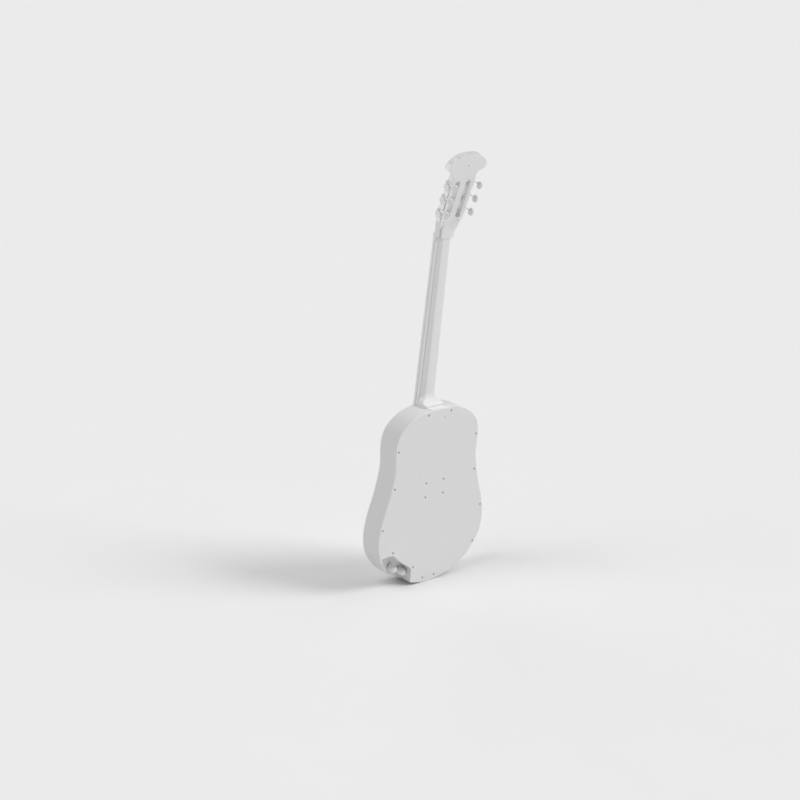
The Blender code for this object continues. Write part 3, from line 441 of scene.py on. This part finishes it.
for k, (r0, r1, m) in enumerate(((47.0, 47.7, RING_A), (48.2, 55.4, RING_B), (55.9, 56.6, RING_A))):
    prof = [(r0, -1.2), (r0, 0.02), (r0 + 0.06, 0.06), (r1 - 0.06, 0.06), (r1, 0.02), (r1, -1.2), (r0, -1.2)]
    v, f = [], []
    q = 180
    fr = Frame(FRONT(0, HOLE_Z, 0), X, Z, -Y)
    for r, w in prof[:-1]:
        v += [fr(r * cos(2 * pi * i / q), r * sin(2 * pi * i / q), w) for i in range(q)]
    for a in range(len(prof) - 1):
        b = (a + 1) % (len(prof) - 1)
        f += [(a * q + i, a * q + (i + 1) % q, b * q + (i + 1) % q, b * q + i) for i in range(q)]
    piece("rosette_ring_%d" % (k + 1), [(v, f)], m)


def screw(name, fr, r, dome, mat, slot_w=0.5, cross=True, body="guitar", nodes=(), stem=8.0, depth=0.9):
    head = [(0, dome), (r * 0.35, dome * 0.93), (r * 0.7, dome * 0.62), (r * 0.93, dome * 0.18), (r, -0.1), (r * 0.98, -0.4), (r * 0.55, -1.5), (r * 0.5, -stem), (0, -stem - 1.2)]
    bars = [[box(fr, -r * 0.62, r * 0.62, -slot_w / 2, slot_w / 2, dome - depth, dome + 2)]]
    if cross:
        bars.append([box(fr, -slot_w / 2, slot_w / 2, -r * 0.62, r * 0.62, dome - depth, dome + 2)])
    return piece(name, [lathe(head, fr, 32)], mat, body, nodes, cut=bars, angle=40)


for i, (x, z) in enumerate(SCREWS):
    a = 0.6 * i
    o = frame_at((x, 0, z), Y)
    fr = Frame(o.o, o.a * cos(a) + o.b * sin(a), o.b * cos(a) - o.a * sin(a), o.c)
    pale = i == len(SCREWS) - 1
    screw("back_screw_head_%02d" % (i + 1), fr, 2.4, 0.22, SCREWP if pale else SCREW, 0.6, True, nodes=["back_screw_%02d" % (i + 1)] if i < 10 else (), depth=1.0)

# ================================================================= control recess
FLOOR = -NOTCH_D
ON_Z = Frame((0, 0, 0), X, Y, Z)
EDGE = np.array(OUT)
# its floor ramps up to the back's edge on the outer side
tray_tool = carved("tray_tool", [pillow(notch_region(0), BODY, FLOOR, 10, 1.5, 0.0)], [prism([(98.9, -34.5), (124.0, -18.4), (167.4, 10), (230, 10), (230, -34.5)], ON_Z, -60, 110)], POCK)
piece("recess_tray", [prism(OUT, BODY, FLOOR - 2.5, -PLATE_T - GAP)], POCK, nodes=["control_pocket"], keep=[[prism(notch_region(3), BODY, FLOOR - 6, 10)]],
      cut=[tray_tool, [lathe([(0, -30), (4.0, -30), (4.0, 30), (0, 30)], frame_at((kx, FLOOR, kz), Y), 32) for kx, kz in KNOBS]],
      extra=[(SIDE, lambda c, nn: abs(nn[1]) < 0.3 and np.min(np.hypot(EDGE[:, 0] - c[0], EDGE[:, 1] - c[2])) < 1.6),
             # painted shade on the outer part of the recess floor's ramp
             (POCKET_RAMP_SHADE, lambda c, nn: c[0] > 124 and nn[0] < -0.3 and nn[1] > 0.3)])
for i, (kx, kz) in enumerate(KNOBS):
    fr = frame_at((kx, FLOOR, kz), Y)
    nm = ("volume", "tone")[i]
    prof = [(0, 4.4), (8.3, 4.4), (8.7, 4.7), (8.8, 5.2), (8.8, 15.6), (8.75, 17.1), (8.5, 18.6), (8.1, 20.0), (7.5, 21.3), (6.7, 22.4), (5.6, 23.4), (4.3, 24.1), (2.8, 24.55), (1.4, 24.78), (0, 24.85)]
    flute = lambda r, a, w: r - (0.16 * (0.5 + 0.5 * cos(36 * a)) if 5.0 < w < 14.9 else 0.0)
    rows = [(r, w) for r, w in prof]
    rows[4:5] = [(8.8, 14.4), (8.8, 15.0), (8.8, 15.8)]
    piece(nm + "_knob_cap", [lathe(rows, fr, 240, flute)], KNOBM, nm + "_knob", [nm + "_knob"], angle=50)
    tip = Frame(fr(0, 0, 0), fr.a, fr.b, fr.c)
    piece(nm + "_knob_mark", [loft([[tip(s * 0.32, y, w) for s, w in ((-1, w0 - 0.5), (1, w0 - 0.5), (1, w0 + 0.10), (-1, w0 + 0.10))]
                                    for y, w0 in ((2.8, 24.5), (4.3, 24.05), (5.6, 23.35), (6.7, 22.35), (7.5, 21.25), (8.1, 19.95))])], RING_B, nm + "_knob", angle=50)
    piece(nm + "_washer", [lathe([(4.1, 0.02), (6.2, 0.02), (6.3, 0.15), (6.3, 0.7), (6.2, 0.85), (4.1, 0.85), (4.1, 0.02)], fr, 48)], STEEL)
    hexa = [(5.4 * cos(pi / 3 * q + 0.3), 5.4 * sin(pi / 3 * q + 0.3)) for q in range(6)]
    piece(nm + "_nut", [prism(hexa, fr, 0.9, 3.4)], STEEL, cut=[[prism(circle(0, 0, 4.1, 32), fr, 0, 9)]])

# ================================================================= hardware on the side of the body
def rim_frame(x_sign, z, o):
    o = np.array(o)
    m = [i for i in range(len(o)) if o[i][0] * x_sign > 0]
    i = min(m, key=lambda k: abs(o[k][1] - z))
    t = o[(i + 1) % len(o)] - o[i - 1]
    nrm = np.array([t[1], -t[0]])
    nrm = nrm / np.linalg.norm(nrm)
    if nrm @ (o[i] - np.array([0, 200])) < 0:
        nrm = -nrm
    return Frame((o[i][0], -30.0, o[i][1]), np.array([-nrm[1], 0, nrm[0]]), Y, np.array([nrm[0], 0, nrm[1]]))


COARSE = resample(catmull([mirror[1]] + half + [mirror[-2]], 24)[24:-24], 53)
COARSE = [tuple(p) for p in COARSE] + [(-p[0], p[1]) for p in COARSE[-2:0:-1]]
jf = rim_frame(-1, 60.0, COARSE)
piece("jack_plate", [lathe([(0, -20), (6.0, -20), (6.0, 0.35), (10.3, 0.35), (10.5, 0.5), (10.5, 1.2), (10.2, 1.7), (9.2, 2.0), (6.6, 2.05), (6.6, 2.05), (0, 2.05)], jf, 64)], STEEL,
      nodes=["output_jack"], cut=[[lathe([(0, -16), (3.2, -16), (3.2, 30), (0, 30)], jf, 32)]])
piece("jack_nut", [prism([(6.4 * cos(pi / 3 * q), 6.4 * sin(pi / 3 * q)) for q in range(6)], jf, 2.05, 2.38)], STEEL, cut=[[prism(circle(0, 0, 3.3, 32), jf, 1, 9)]])
for nm, z in (("tail", 34.0), ("upper", 372.0)):
    f = rim_frame(-1, z, COARSE)
    btn = [(0, 0.9), (5.3, 0.9), (5.0, 1.6), (4.3, 2.6), (3.95, 4.2), (3.85, 6.0), (4.1, 7.8), (4.8, 9.2), (6.0, 10.2), (6.9, 10.9), (7.2, 11.7), (7.1, 12.5), (6.6, 13.1), (5.8, 13.45), (3.0, 13.55), (3.0, 12.9), (0, 12.9)]
    piece("strap_button_body_" + nm, [lathe(btn, f, 64)], STEEL, nodes=["strap_button_" + nm], angle=45)
    piece("strap_button_felt_" + nm, [lathe([(0, 0.3), (5.9, 0.3), (6.1, 0.5), (6.0, 0.85), (0, 0.88)], f, 48)], RING_A)
    screw("strap_button_screw_" + nm, Frame(f(0, 0, 12.9), f.a, f.b, f.c), 2.7, 0.55, SCREW, 0.6, True, stem=3.0)

# ================================================================= neck
def wid(v):
    return W_NUT + (W_BODY - W_NUT) * min(max(v, 0), 460) / NECK_L


def depth(v):
    return 16.1 + 2.3 * v / NECK_L


def heel_drop(v):
    t = (v - (END_V - 30)) / 23.7
    d = 0.0 if t <= 0 else 17.0 * min(t, 1.0) ** 2.0
    u = min(max((v - (END_V - 8.9)) / 1.0, 0.0), 1.0)
    return d + 5.2 * u * u * (3 - 2 * u)


FLANK_W = 8.9
KNEE = [(0.0, 0.83), (0.30, 0.725), (0.60, 0.62), (0.80, 0.551), (0.84, 0.534), (0.875, 0.518), (0.905, 0.501), (0.93, 0.483), (0.95, 0.464), (0.967, 0.443),
        (0.98, 0.415), (0.99, 0.38), (0.996, 0.34), (1.0, 0.28)]
SQUARE = [(0.0, 0.985), (0.22, 0.985), (0.45, 0.985), (0.65, 0.984), (0.78, 0.982), (0.85, 0.978), (0.90, 0.970), (0.935, 0.958), (0.96, 0.942), (0.978, 0.922),
          (0.989, 0.898), (0.996, 0.87), (0.999, 0.84), (1.0, 0.80)]


def outline_of(v):
    """Depths and half widths of the neck's outline behind its front plane."""
    d = heel_drop(v)
    flat = min(1.0, d / 12.0)
    flat = flat * flat * (3 - 2 * flat)
    s = depth(v) + d - FLANK_W
    ws = [FB_B] + [FLANK_W + s * (k[0] * (1 - flat) + q[0] * flat) for k, q in zip(KNEE, SQUARE)]
    xs = [1.0] + [k[1] * (1 - flat) + q[1] * flat for k, q in zip(KNEE, SQUARE)]
    return ws, [wid(v) * x for x in xs]


def side_x(v, w):
    ws, xs = outline_of(v)
    return float(np.interp(w, ws, xs))


def line1(v):
    return FB_B + GAP + max(0.0, 10 - v) ** 2 / 25


def line2(v):
    return LAM_T + min(4.4, max(0.0, 19 - v) ** 2 / 62)


def far_side(v, a, deep):
    """Far side of a groove that starts at depth a: its floor, then a rounded lip."""
    x = side_x(v, a)
    return [(x - deep, a + 0.05), (x - deep, a + 0.45), (side_x(v, a + 0.75) - deep * 0.8, a + 0.75), (side_x(v, a + 1.0) - deep * 0.32, a + 1.0),
            (side_x(v, a + 1.3) - 0.08, a + 1.3), (side_x(v, a + 1.65), a + 1.65)]


def near_side(v, g):
    return [(side_x(v, g - 0.85), g - 0.85), (side_x(v, g - 0.5) - 0.08, g - 0.5), (side_x(v, g - 0.22) - 0.35, g - 0.22), (side_x(v, g) - 1.0, g)]


def back_points(v, g):
    ws, xs = outline_of(v)
    b = max(FLANK_W, g + 2.0)
    out = [(side_x(v, b), b)] + [(side_x(v, max(w, b + 0.02 * i)), max(w, b + 0.02 * i)) for i, w in enumerate(ws[2:], 1)]
    return out + [(xs[-1] * 0.5, ws[-1]), (0.0, ws[-1])]


def neck_half(v):
    g = line2(v) + GAP
    return far_side(v, g, 1.6) + back_points(v, g)


def root_half(v):
    a, g = FB_B + GAP + max(0.3, line1(v) - FB_B - GAP), line2(v)
    w = wid(v)
    x = w * (1 - 0.008 * (a - FB_B))
    return [(w, FB_B + 0.06), (x, a - 0.25), (x - 0.12, a - 0.1), (x - 0.5, a)] + far_side(v, a, 1.5) + near_side(v, g) + far_side(v, g + GAP, 1.6) + back_points(v, g + GAP)


def both(v, h):
    """The half section and its mirror image."""
    m = h[-2::-1] if abs(h[-1][0]) < 1e-9 else h[::-1]
    return [NECK(x, v, z) for x, z in h] + [NECK(-x, v, z) for x, z in m]


vs = [12.3, 13.5, 15, 17, 19, 22] + list(np.arange(28, END_V - 34, 7.5)) + list(np.arange(END_V - 33, END_V - 9.5, 1.0)) + list(np.arange(END_V - 9.1, END_V - 7.5, 0.2)) + [END_V - 7, END_V - 5, END_V - 3, END_V - 1, END_V + 1, END_V + 12]
seat = [prism(offset(OUT, -0.05), BODY, -BODY_D - 0.05, 30)]
piece("neck_shaft", [loft([both(v, neck_half(v)) for v in vs])], NECKM, nodes=["neck"], cut=[seat], angle=42,
      # the neck's upward faces near the heel take the heel tone, a painted shade
      extra=[(HEEL_WOOD_SHADE, lambda c, nn: c[2] < BODY_L + 24 and nn[2] > 0.35)])
foot = [p for p in OUT if abs(p[0]) < 25.0 and p[1] > 400]
foot = sorted(foot)
# the heel foot is all in the heel tone, the same painted shade as the heel's top faces
piece("heel_foot", [pillow([(x, z - 0.25) for x, z in foot] + [(x, z + 0.9) for x, z in reversed(foot)], BODY, -42.0, -PLATE_T - 0.4, 0.0, 0.3)], HEEL_WOOD_SHADE)
lamv = [8.0, 9, 10, 12, 14, 16.5, 19] + list(np.arange(30, END_V - 30, 16)) + list(np.arange(END_V - 28, END_V - 2, 3)) + [END_V + 5]
lam_rows = []
for v in lamv:
    a, g = FB_B + 0.05, line2(v)
    lam_rows.append(both(v, [(side_x(v, a) - 1.5, a)] + far_side(v, a, 1.5) + near_side(v, g)))
piece("neck_core_strip", [loft(lam_rows)], LAM, nodes=["neck_laminate"], cut=[seat])

# ---------------------------------------------------------------- headstock
h = catmull(HEAD + [(-HEAD[-2][0], HEAD[-2][1])], 10)
h = [tuple(p) for p in h[:max(i for i, p in enumerate(h) if p[0] > -1e-6) + 1]]
HO = h + [(-p[0], p[1]) for p in h[-2::-1]]


def stadium(cx, s0, s1, w, n=24):
    r = w / 2
    p = [(cx + r * cos(pi + pi * k / n), s0 + r + r * sin(pi + pi * k / n)) for k in range(n + 1)]
    return p + [(cx + r * cos(pi * k / n), s1 - r + r * sin(pi * k / n)) for k in range(n + 1)]


SHIELD = [(-2.5, 21.6, 19.4), (-8, 21.8, 19.9), (-16, 22.6, 20.5), (-23, 23.4, 21.1), (-29, 22.8, 21.7), (-33.5, 21.2, 22.1), (-36, 18.5, 22.4), (-37, 16.0, 22.5)]
shield = []
for v, w, d in catmull(SHIELD, 5):
    row, low = [], 6 + 0.15 * max(0, -v - 10)
    for j in range(57):
        a = pi * j / 56
        cx, sy = cos(a), sin(a)
        row.append(NECK(w * (1 if cx > 0 else -1) * abs(cx) ** 0.33, v, low + (d - low) * max(sy, 0.0) ** 0.33))
    shield.append(row)
# the shelf's edge is eased
eased = []
for p in shield[0]:
    q = p - NECK(0, -2.5, 0)
    x, w = q @ X, q @ N0
    eased.append(NECK(x * 0.972, -2.0, w if w < 7 else w - 0.55))
shield = [eased] + shield
ON_V = Frame(NECK(0, 0, 0), -S0, N0, X)
lam_room = [(7.7, -60), (60, -60), (60, LAM_T + 0.08)] + [(v, line2(v) + 0.08) for v in (19, 17, 15, 13, 11, 9, 7.7)]
below = [box(NECK, -80, 80, V0 - NUT_T - 0.05, 60, -60, FB_B + 0.05), prism(lam_room, ON_V, -80, 80), box(NECK, -80, 80, 12.2, 60, -60, 80)]
ALONG = Frame(NECK(0, 0, 0), X, N0, -S0)
flanks = [prism([(sd * q[0], q[1]) for q in ((20, FB_B), (13, 12.5), (13, 30), (40, 30), (40, FB_B))], ALONG, -2.4, 16) for sd in (1, -1)]
SN = Frame(HEADF(0, 0, 0), HS, HN, X)
ramps = [prism([(34, -HEAD_T - 0.6), (34, -HEAD_T), (53, -12.4), (56, -12.4), (56, -HEAD_T - 0.6)], SN, sd * 17.4 - 3.4, sd * 17.4 + 3.4) for sd in (1, -1)]
BACKW = Frame(HEADF(0, 0, 0), X, HS, HN)
slots = [flared(stadium(sd * SLOT_X, SLOT_S0, SLOT_S1, SLOT_W), BACKW, -40, 12, 0.0, 0.5) for sd in (1, -1)]
fslots = [flared(stadium(sd * SLOT_X, SLOT_S0, SLOT_S1, SLOT_W), Frame(HEADF(0, 0, 0), X, HS, -HN), 0, 40, HEAD_T, 0.5) for sd in (1, -1)]
holes = [lathe([(0, 60), (3.35, 60), (3.35, -60), (0, -60)], Frame(HEADF(0, s, POST_N), Y, Z, X), 32) for s in POST_S]
side_line = [(w, -v - 1.7) for v, w, d in catmull(SHIELD, 5) if v < -18]
channel = [prism([(sd * (x + grow), s) for x, s in side_line] + [(sd * x * 0.93, s) for x, s in reversed(side_line)], BACKW, -deep, 4) for sd, grow, deep in ((1, 1.3, 3.0), (-1, 0.4, 0.8))]
piece("head_body", [pillow(HO, HEADF, -HEAD_T + FACE_T + 0.05, 0, 0.0, 0.8)], HEADM, nodes=["headstock"],
      first=[flanks, channel], join=[[loft(shield)], [loft([both(v, root_half(v)) for v in (-3.2, -2, -1, 0, 1, 2, 3, 4, 5, 6, 7, 8, 9, 10, 11, 12, 13.5)])]],
      cut=[slots, holes, ramps, [below[0]], [below[1]], [below[2]]], angle=38,
      # painted shade on the head's top end faces, middle and treble half
      extra=[(HEAD_END_SHADE, lambda c, nn: c[0] <= 8 and (c - HEADF(0, 0, 0)) @ HS > 172 and nn @ HS > 0.93),
             (HEAD_END_PALE_SHADE, lambda c, nn: c[0] > 8 and (c - HEADF(0, 0, 0)) @ HS > 172 and nn @ HS > 0.87),
             # painted shade on the treble lobe's sloping top faces
             (HEAD_LOBE_SHADE, lambda c, nn: c[0] > 8 and (c - HEADF(0, 0, 0)) @ HS > 165 and 0.55 < nn @ HS <= 0.87),
             # painted light on the treble side's upper flank
             (HEAD_EDGE_LIGHT, lambda c, nn: c[0] > 8 and (c - HEADF(0, 0, 0)) @ HS > 146 and nn[0] > 0.3 and -0.9 < nn @ HS <= 0.55 and abs(nn @ HN) < 0.5),
             # painted shade on the head's side faces near the nut
             (HEAD_FLANK_SHADE, lambda c, nn: (c - HEADF(0, 0, 0)) @ HS < 40 and abs(nn[0]) > 0.7 and (c - HEADF(0, 0, 0)) @ HN < -1.0),
             # painted shade on the shield's side walls
             (SHIELD_SIDE_SHADE, lambda c, nn: -2 < (c - HEADF(0, 0, 0)) @ HS < 38 and abs(nn[0]) > 0.55 and (c - HEADF(0, 0, 0)) @ HN > -0.4)])
face_poly = [p for p in HO if p[1] > -6]
# the veneer's top end faces get the same painted shade as the head's
piece("head_veneer", [pillow(face_poly, HEADF, -HEAD_T, -HEAD_T + FACE_T, 0.5, 0.0)], FACE, nodes=["head_faceplate"], cut=[fslots, ramps, [below[0]]], extra=[(HEAD_END_SHADE, lambda c, nn: c[0] <= 8 and (c - HEADF(0, 0, 0)) @ HS > 172 and nn @ HS > 0.93),
             (HEAD_END_PALE_SHADE, lambda c, nn: c[0] > 8 and (c - HEADF(0, 0, 0)) @ HS > 172 and nn @ HS > 0.87),
             # the same painted shade on the veneer's treble lobe
             (HEAD_LOBE_SHADE, lambda c, nn: c[0] > 8 and (c - HEADF(0, 0, 0)) @ HS > 165 and 0.55 < nn @ HS <= 0.87),
             # the same painted light on the veneer's treble upper flank
             (HEAD_EDGE_LIGHT, lambda c, nn: c[0] > 8 and (c - HEADF(0, 0, 0)) @ HS > 146 and nn[0] > 0.3 and -0.9 < nn @ HS <= 0.55 and abs(nn @ HN) < 0.5)])
for sd in (1, -1):
    screw("head_side_screw_%s" % ("treble" if sd > 0 else "bass"), Frame(HEADF(sd * 33.2, 158.5, -9.0), HS, HN, X * sd), 2.3, 1.5, CHROME, 0.5, False, stem=5.0, depth=0.6)
for k, (x, s) in enumerate(((22.0, 42.4), (-22.0, 42.4), (0.0, 187.4))):
    screw("head_screw_%d" % (k + 1), Frame(HEADF(x, s, 0), X, HS, HN), 1.9, 0.25, SCREW, 0.45, k == 2, stem=6.0, depth=0.7)

# ---------------------------------------------------------------- fretboard, frets, dots, nut
def board_w(x, v, top=0.0):
    w = wid(v)
    return -(FB_T - 0.7 * (abs(x) / w) ** 2) - top


bv = [V0 + 0.02, V0 + 0.2] + list(np.arange(20, FB_L - 6, 12)) + [FB_L - 0.4, FB_L]
rows = []
for v in bv:
    e = 0.35 if v in (bv[0], bv[-1]) else 0.0
    w = wid(v)
    xs = [w * (1 - 2 * k / 24) for k in range(25)]
    row = [NECK(-w, v, FB_B), NECK(w, v, FB_B), NECK(w, v, -(FB_T - 1.1))]
    row += [NECK(x * (1 - 0.012 * (abs(x) / w) ** 8), v, board_w(x, v) + e) for x in xs]
    row += [NECK(-w, v, -(FB_T - 1.1))]
    rows.append(row)
piece("finger_board", [loft(rows)], FBM, nodes=["fretboard"], cut=[seat], join=[[box(NECK, -26, 26, END_V + 9, FB_L - 1, -1, 4)]])
for i in range(1, 21):
    v = V0 + SCALE * (1 - 2 ** (-i / 12.0))
    w = wid(v) - 0.15
    rows = []
    for k in range(25):
        x = w * (1 - 2 * k / 24)
        e = 0.55 if k in (0, 24) else (0.12 if k in (1, 23) else 0.0)
        rows.append([NECK(x, v + a, board_w(x, v) - b + e * (b > 0.2)) for a, b in ((-1.2, -0.5), (-1.2, 0.12), (-0.95, 0.5), (-0.5, 0.86), (0.0, 1.0), (0.5, 0.86), (0.95, 0.5), (1.2, 0.12), (1.2, -0.5))])
    piece("fret_%02d" % i, [loft(rows)], FRETM, angle=60)


def between(i):
    return V0 + SCALE * (1 - (2 ** (-i / 12.0) + 2 ** (-(i - 1) / 12.0)) / 2)


for i in (5, 7, 9, 12):
    v = between(i)
    for sd in (1, -1):
        fr = Frame(NECK(sd * wid(v), v, -2.4), S0, N0, X * sd)
        piece("side_dot_%02d_%s" % (i, "treble" if sd > 0 else "bass"), [lathe([(0, 0.03), (0.9, 0.03), (1.0, -0.02), (1.0, -1.2), (0, -1.2)], fr, 24)], DARK)
    for k, x in enumerate((0.0,) if i != 12 else (-9.0, 9.0)):
        fr = Frame(NECK(x, v, board_w(x, v)), X, S0, -N0)
        piece("face_dot_%02d_%d" % (i, k + 1), [lathe([(0, 0.03), (2.4, 0.03), (2.5, -0.02), (2.5, -1.2), (0, -1.2)], fr, 32)], INLAY)
prof = [(0.05, 0.05 - FB_B), (NUT_T - 0.05, 0.05 - FB_B), (NUT_T - 0.05, FB_T - 1.0), (NUT_T - 0.3, FB_T - 0.72), (4.6, FB_T + 0.2), (3.6, FB_T + 0.8), (2.6, FB_T + 1.25), (1.6, FB_T + 1.55), (0.9, FB_T + 1.68), (0.35, FB_T + 1.68), (0.05, FB_T + 1.4)]
grooves = []
for i in range(6):
    r = STRING_R[i] + 0.12
    fr = Frame(NECK(NUT_X[i], V0 - 3.0, -(FB_T + 1.62 + r)), X, N0, S0)
    grooves.append(prism([(r * 1.15 * cos(2 * pi * q / 16), r * 1.15 * sin(2 * pi * q / 16)) for q in range(16)], fr, -12, 12))
rows = [[NECK(x, V0 - p[0], -p[1] + (0.3 if abs(x) > W_NUT - 0.1 and p[1] > 5 else 0.0)) for p in prof] for x in (-W_NUT, -W_NUT + 0.3, -W_NUT * 0.5, 0, W_NUT * 0.5, W_NUT - 0.3, W_NUT)]
piece("nut_bone", [loft(rows)], BONE, nodes=["nut"], cut=[grooves])

# ================================================================= tuners
for side, sx in (("treble", 1), ("bass", -1)):
    fr = Frame(HEADF(0, 0, 0), HS, HN, X * sx)
    pl = rounded(44.5, 145.0, -16.0, -1.5, 2.2)
    piece("tuner_strip_" + side, [pillow(pl, fr, PLATE_X, PLATE_X + 1.2, 0.0, 0.35, 3)], CHROME, nodes=["tuner_plate_" + side],
          cut=[[lathe([(0, 60), (3.35, 60), (3.35, -60), (0, -60)], Frame(HEADF(0, s, POST_N), Y, Z, X), 32) for s in POST_S]])
    for i, s in enumerate(POST_S):
        num = {1: (3, 2, 1), -1: (4, 5, 6)}[sx][i]
        key_b, post_b = "tuner_key_%d" % num, "string_post_%d" % num
        # the plate's ears, which carry the worm
        for k, n_ in enumerate((-15.0, -3.8)):
            lf = Frame(HEADF(0, s + KEY_DS, n_), X * sx, HS, HN)
            r = 2.3
            ear = [(PLATE_X + 0.6, -r), (KEY_X, -r)] + [(KEY_X + r * sin(pi * q / 12), -r * cos(pi * q / 12)) for q in range(1, 12)] + [(KEY_X, r), (PLATE_X + 0.6, r)]
            piece("worm_ear_%d_%s" % (num, "front" if k == 0 else "rear"), [pillow(ear, lf, -0.6, 0.6, 0.18, 0.18, 2)], CHROME,
                  cut=[[prism(circle(KEY_X, 0, 1.65, 32), lf, -5, 5)]])
        # the plate's own screws, domed and bright
        sf = Frame(fr(s - 10.9, -6.5, PLATE_X + 1.15), HS, HN, X * sx)
        screw("plate_screw_%d" % num, sf, 2.1, 0.95, CHROME, 0.4, False, stem=6.0, depth=0.5)
        # gear, spindle and roller
        gf = Frame(HEADF(0, s, POST_N), HS, HN, X * sx)
        gx = PLATE_X + 1.6
        N_T = TEETH * 16

        def tooth(scale):
            out = []
            for q in range(N_T):
                a = 2 * pi * q / N_T
                t = max(-1.0, min(1.0, 1.9 * cos(TEETH * a)))
                r = min(7.88 + 0.5 * t, GEAR_R) + scale
                out.append((r * cos(a), r * sin(a)))
            return out

        def rr(r):
            return [(r * cos(2 * pi * q / N_T), r * sin(2 * pi * q / N_T)) for q in range(N_T)]

        rows = [(rr(3.0), gx), (tooth(-0.25), gx), (tooth(0.0), gx + 0.25), (tooth(0.0), gx + GEAR_T - 0.25), (tooth(-0.25), gx + GEAR_T), (rr(6.4), gx + GEAR_T), (rr(6.1), gx + GEAR_T - 0.35),
                (rr(3.3), gx + GEAR_T - 0.35), (rr(3.0), gx + GEAR_T - 0.05), (rr(2.6), gx + GEAR_T)]
        piece("worm_gear_%d" % num, [loft([[gf(p[0], p[1], w) for p in ring] for ring, w in rows])], GEARM, post_b, [post_b],
              cut=[[box(gf, -2.0, 2.0, -0.32, 0.32, gx + GEAR_T - 0.7, gx + 9)]], angle=40)
        e0, e1 = SLOT_X - SLOT_W / 2 + 0.6, SLOT_X + SLOT_W / 2 - 0.6
        piece("spindle_%d" % num, [lathe([(0, e1 - 0.2), (3.05, e1 - 0.2), (3.05, gx + 0.1), (0, gx + 0.1)], gf, 40)], CHROME, post_b)
        piece("roller_%d" % num, [lathe([(0, e0), (4.6, e0), (4.9, e0 + 0.15), (5.0, e0 + 0.5), (5.0, e1 - 0.5), (4.9, e1 - 0.15), (4.6, e1), (0, e1)], gf, 56)], ROLLM, post_b,
              cut=[[lathe([(0, -20), (0.9, -20), (0.9, 20), (0, 20)], Frame(gf(0, 0, (e0 + e1) / 2 + 3.4 * (0.4)), X, HS, HN), 20)]])
        # worm and its shaft, then the key's button
        kf = Frame(HEADF(sx * KEY_X, s + KEY_DS, 0), X, HS, HN)
        prof = [(0, -16.4), (0.9, -16.4), (1.25, -16.1), (1.3, -14.0), (1.35, -13.6)]
        prof += [(1.2, -13.4 + 0.16 * q) for q in range(1, 51)]
        prof += [(1.35, -5.0), (1.3, -4.6), (1.3, 7.3), (1.5, 7.6), (2.0, 8.1), (2.25, 8.9), (2.3, 10.0), (2.3, 12.0), (0, 12.0)]
        thread = lambda r, a, w: r + (0.3 * max(-1.0, min(1.0, 1.6 * cos(a - 2 * pi * w / 3.2))) if -13.3 < w < -5.3 else 0.0)
        piece("worm_shaft_%d" % num, [lathe(prof, kf, 28, thread)], CHROME, key_b, angle=50)
        # collar where the shaft leaves the rear ear
        piece("key_collar_%d" % num, [lathe([(0, -2.9), (2.0, -2.9), (2.2, -2.7), (2.2, -1.9), (2.0, -1.6), (0, -1.6)], kf, 32)], CHROME, key_b)
        rows = []
        NU, NK = 28, 56
        for q in range(NU + 1):
            u = -cos(pi * q / NU) * 0.984
            e = (1 - abs(u) ** 2.8) ** (1 / 2.8)
            row = []
            for k in range(NK):
                cx, sy = cos(2 * pi * k / NK), sin(2 * pi * k / NK)
                ex = BUTTON[0] * (0.30 + 0.70 * e) * min(1.0, 0.2 + 6 * e)
                row.append(kf(ex * (1 if cx > 0 else -1) * abs(cx) ** 0.85, BUTTON[1] * e * (1 if sy > 0 else -1) * abs(sy) ** 0.8, BUTTON_N + BUTTON[2] * u))
            rows.append(row)
        piece("key_button_%d" % num, [loft(rows)], BUTTONM, key_b, [key_b], angle=60)

# ---------------------------------------------------------------- floor
fm = grain("floor_matt", 0.80, 0.004, (3, 3, 3), 0.9, 0.0, 0.0, (1, 1, 1), 40.0, 0.0)
me = bpy.data.meshes.new("floor")
bm = bmesh.new()
bmesh.ops.create_grid(bm, x_segments=4, y_segments=4, size=40.0)
bm.to_mesh(me)
bm.free()
floor = bpy.data.objects.new("floor", me)
scene.collection.objects.link(floor)
floor.location = (0, 0, -0.0002)
me.materials.append(fm)

# ---------------------------------------------------------------- light
world = bpy.data.worlds.new("studio")
scene.world = world
world.use_nodes = True
bg = world.node_tree.nodes["Background"]
bg.inputs["Color"].default_value = (1, 1, 1, 1)
bg.inputs["Strength"].default_value = 0.27


def sun(name, azimuth, elevation, spread, power):
    """A broad lamp far away: azimuth from +X towards +Y, as the light is seen from the object."""
    li = bpy.data.lights.new(name, "SUN")
    li.energy = power * pi
    li.angle = radians(spread)
    ob = bpy.data.objects.new(name, li)
    scene.collection.objects.link(ob)
    a, e = radians(azimuth), radians(elevation)
    ob.rotation_mode = "QUATERNION"
    ob.rotation_quaternion = Vector((cos(a) * cos(e), sin(a) * cos(e), sin(e))).to_track_quat("Z", "Y")


sun("key", 140, 40, 25, 0.457)
sun("key_soft", 160, 60, 60, 0.196)
sun("second", 340, 40, 25, 0.152)
sun("second_high", 0, 60, 25, 0.173)
sun("low_front", 260, 12, 60, 0.233)

# ---------------------------------------------------------------- camera
cam = bpy.data.cameras.new("camera")
cam.lens = 90.0
cam.sensor_width = 36.0
cam.clip_start, cam.clip_end = 0.05, 200.0
co = bpy.data.objects.new("camera", cam)
scene.collection.objects.link(co)
R = ((-0.76086, 0.6458, 0.06353), (0.17411, 0.29748, -0.93872), (-0.62512, -0.70317, -0.33878))
rot = Matrix(((R[0][0], -R[1][0], -R[2][0]), (R[0][1], -R[1][1], -R[2][1]), (R[0][2], -R[1][2], -R[2][2])))
co.matrix_world = Matrix.Translation((2.96073, 3.18738 + Y0 / 1000, 2.01810)) @ rot.to_4x4()
scene.camera = co
scene.view_settings.view_transform = "Standard"
scene.view_settings.look = "None"
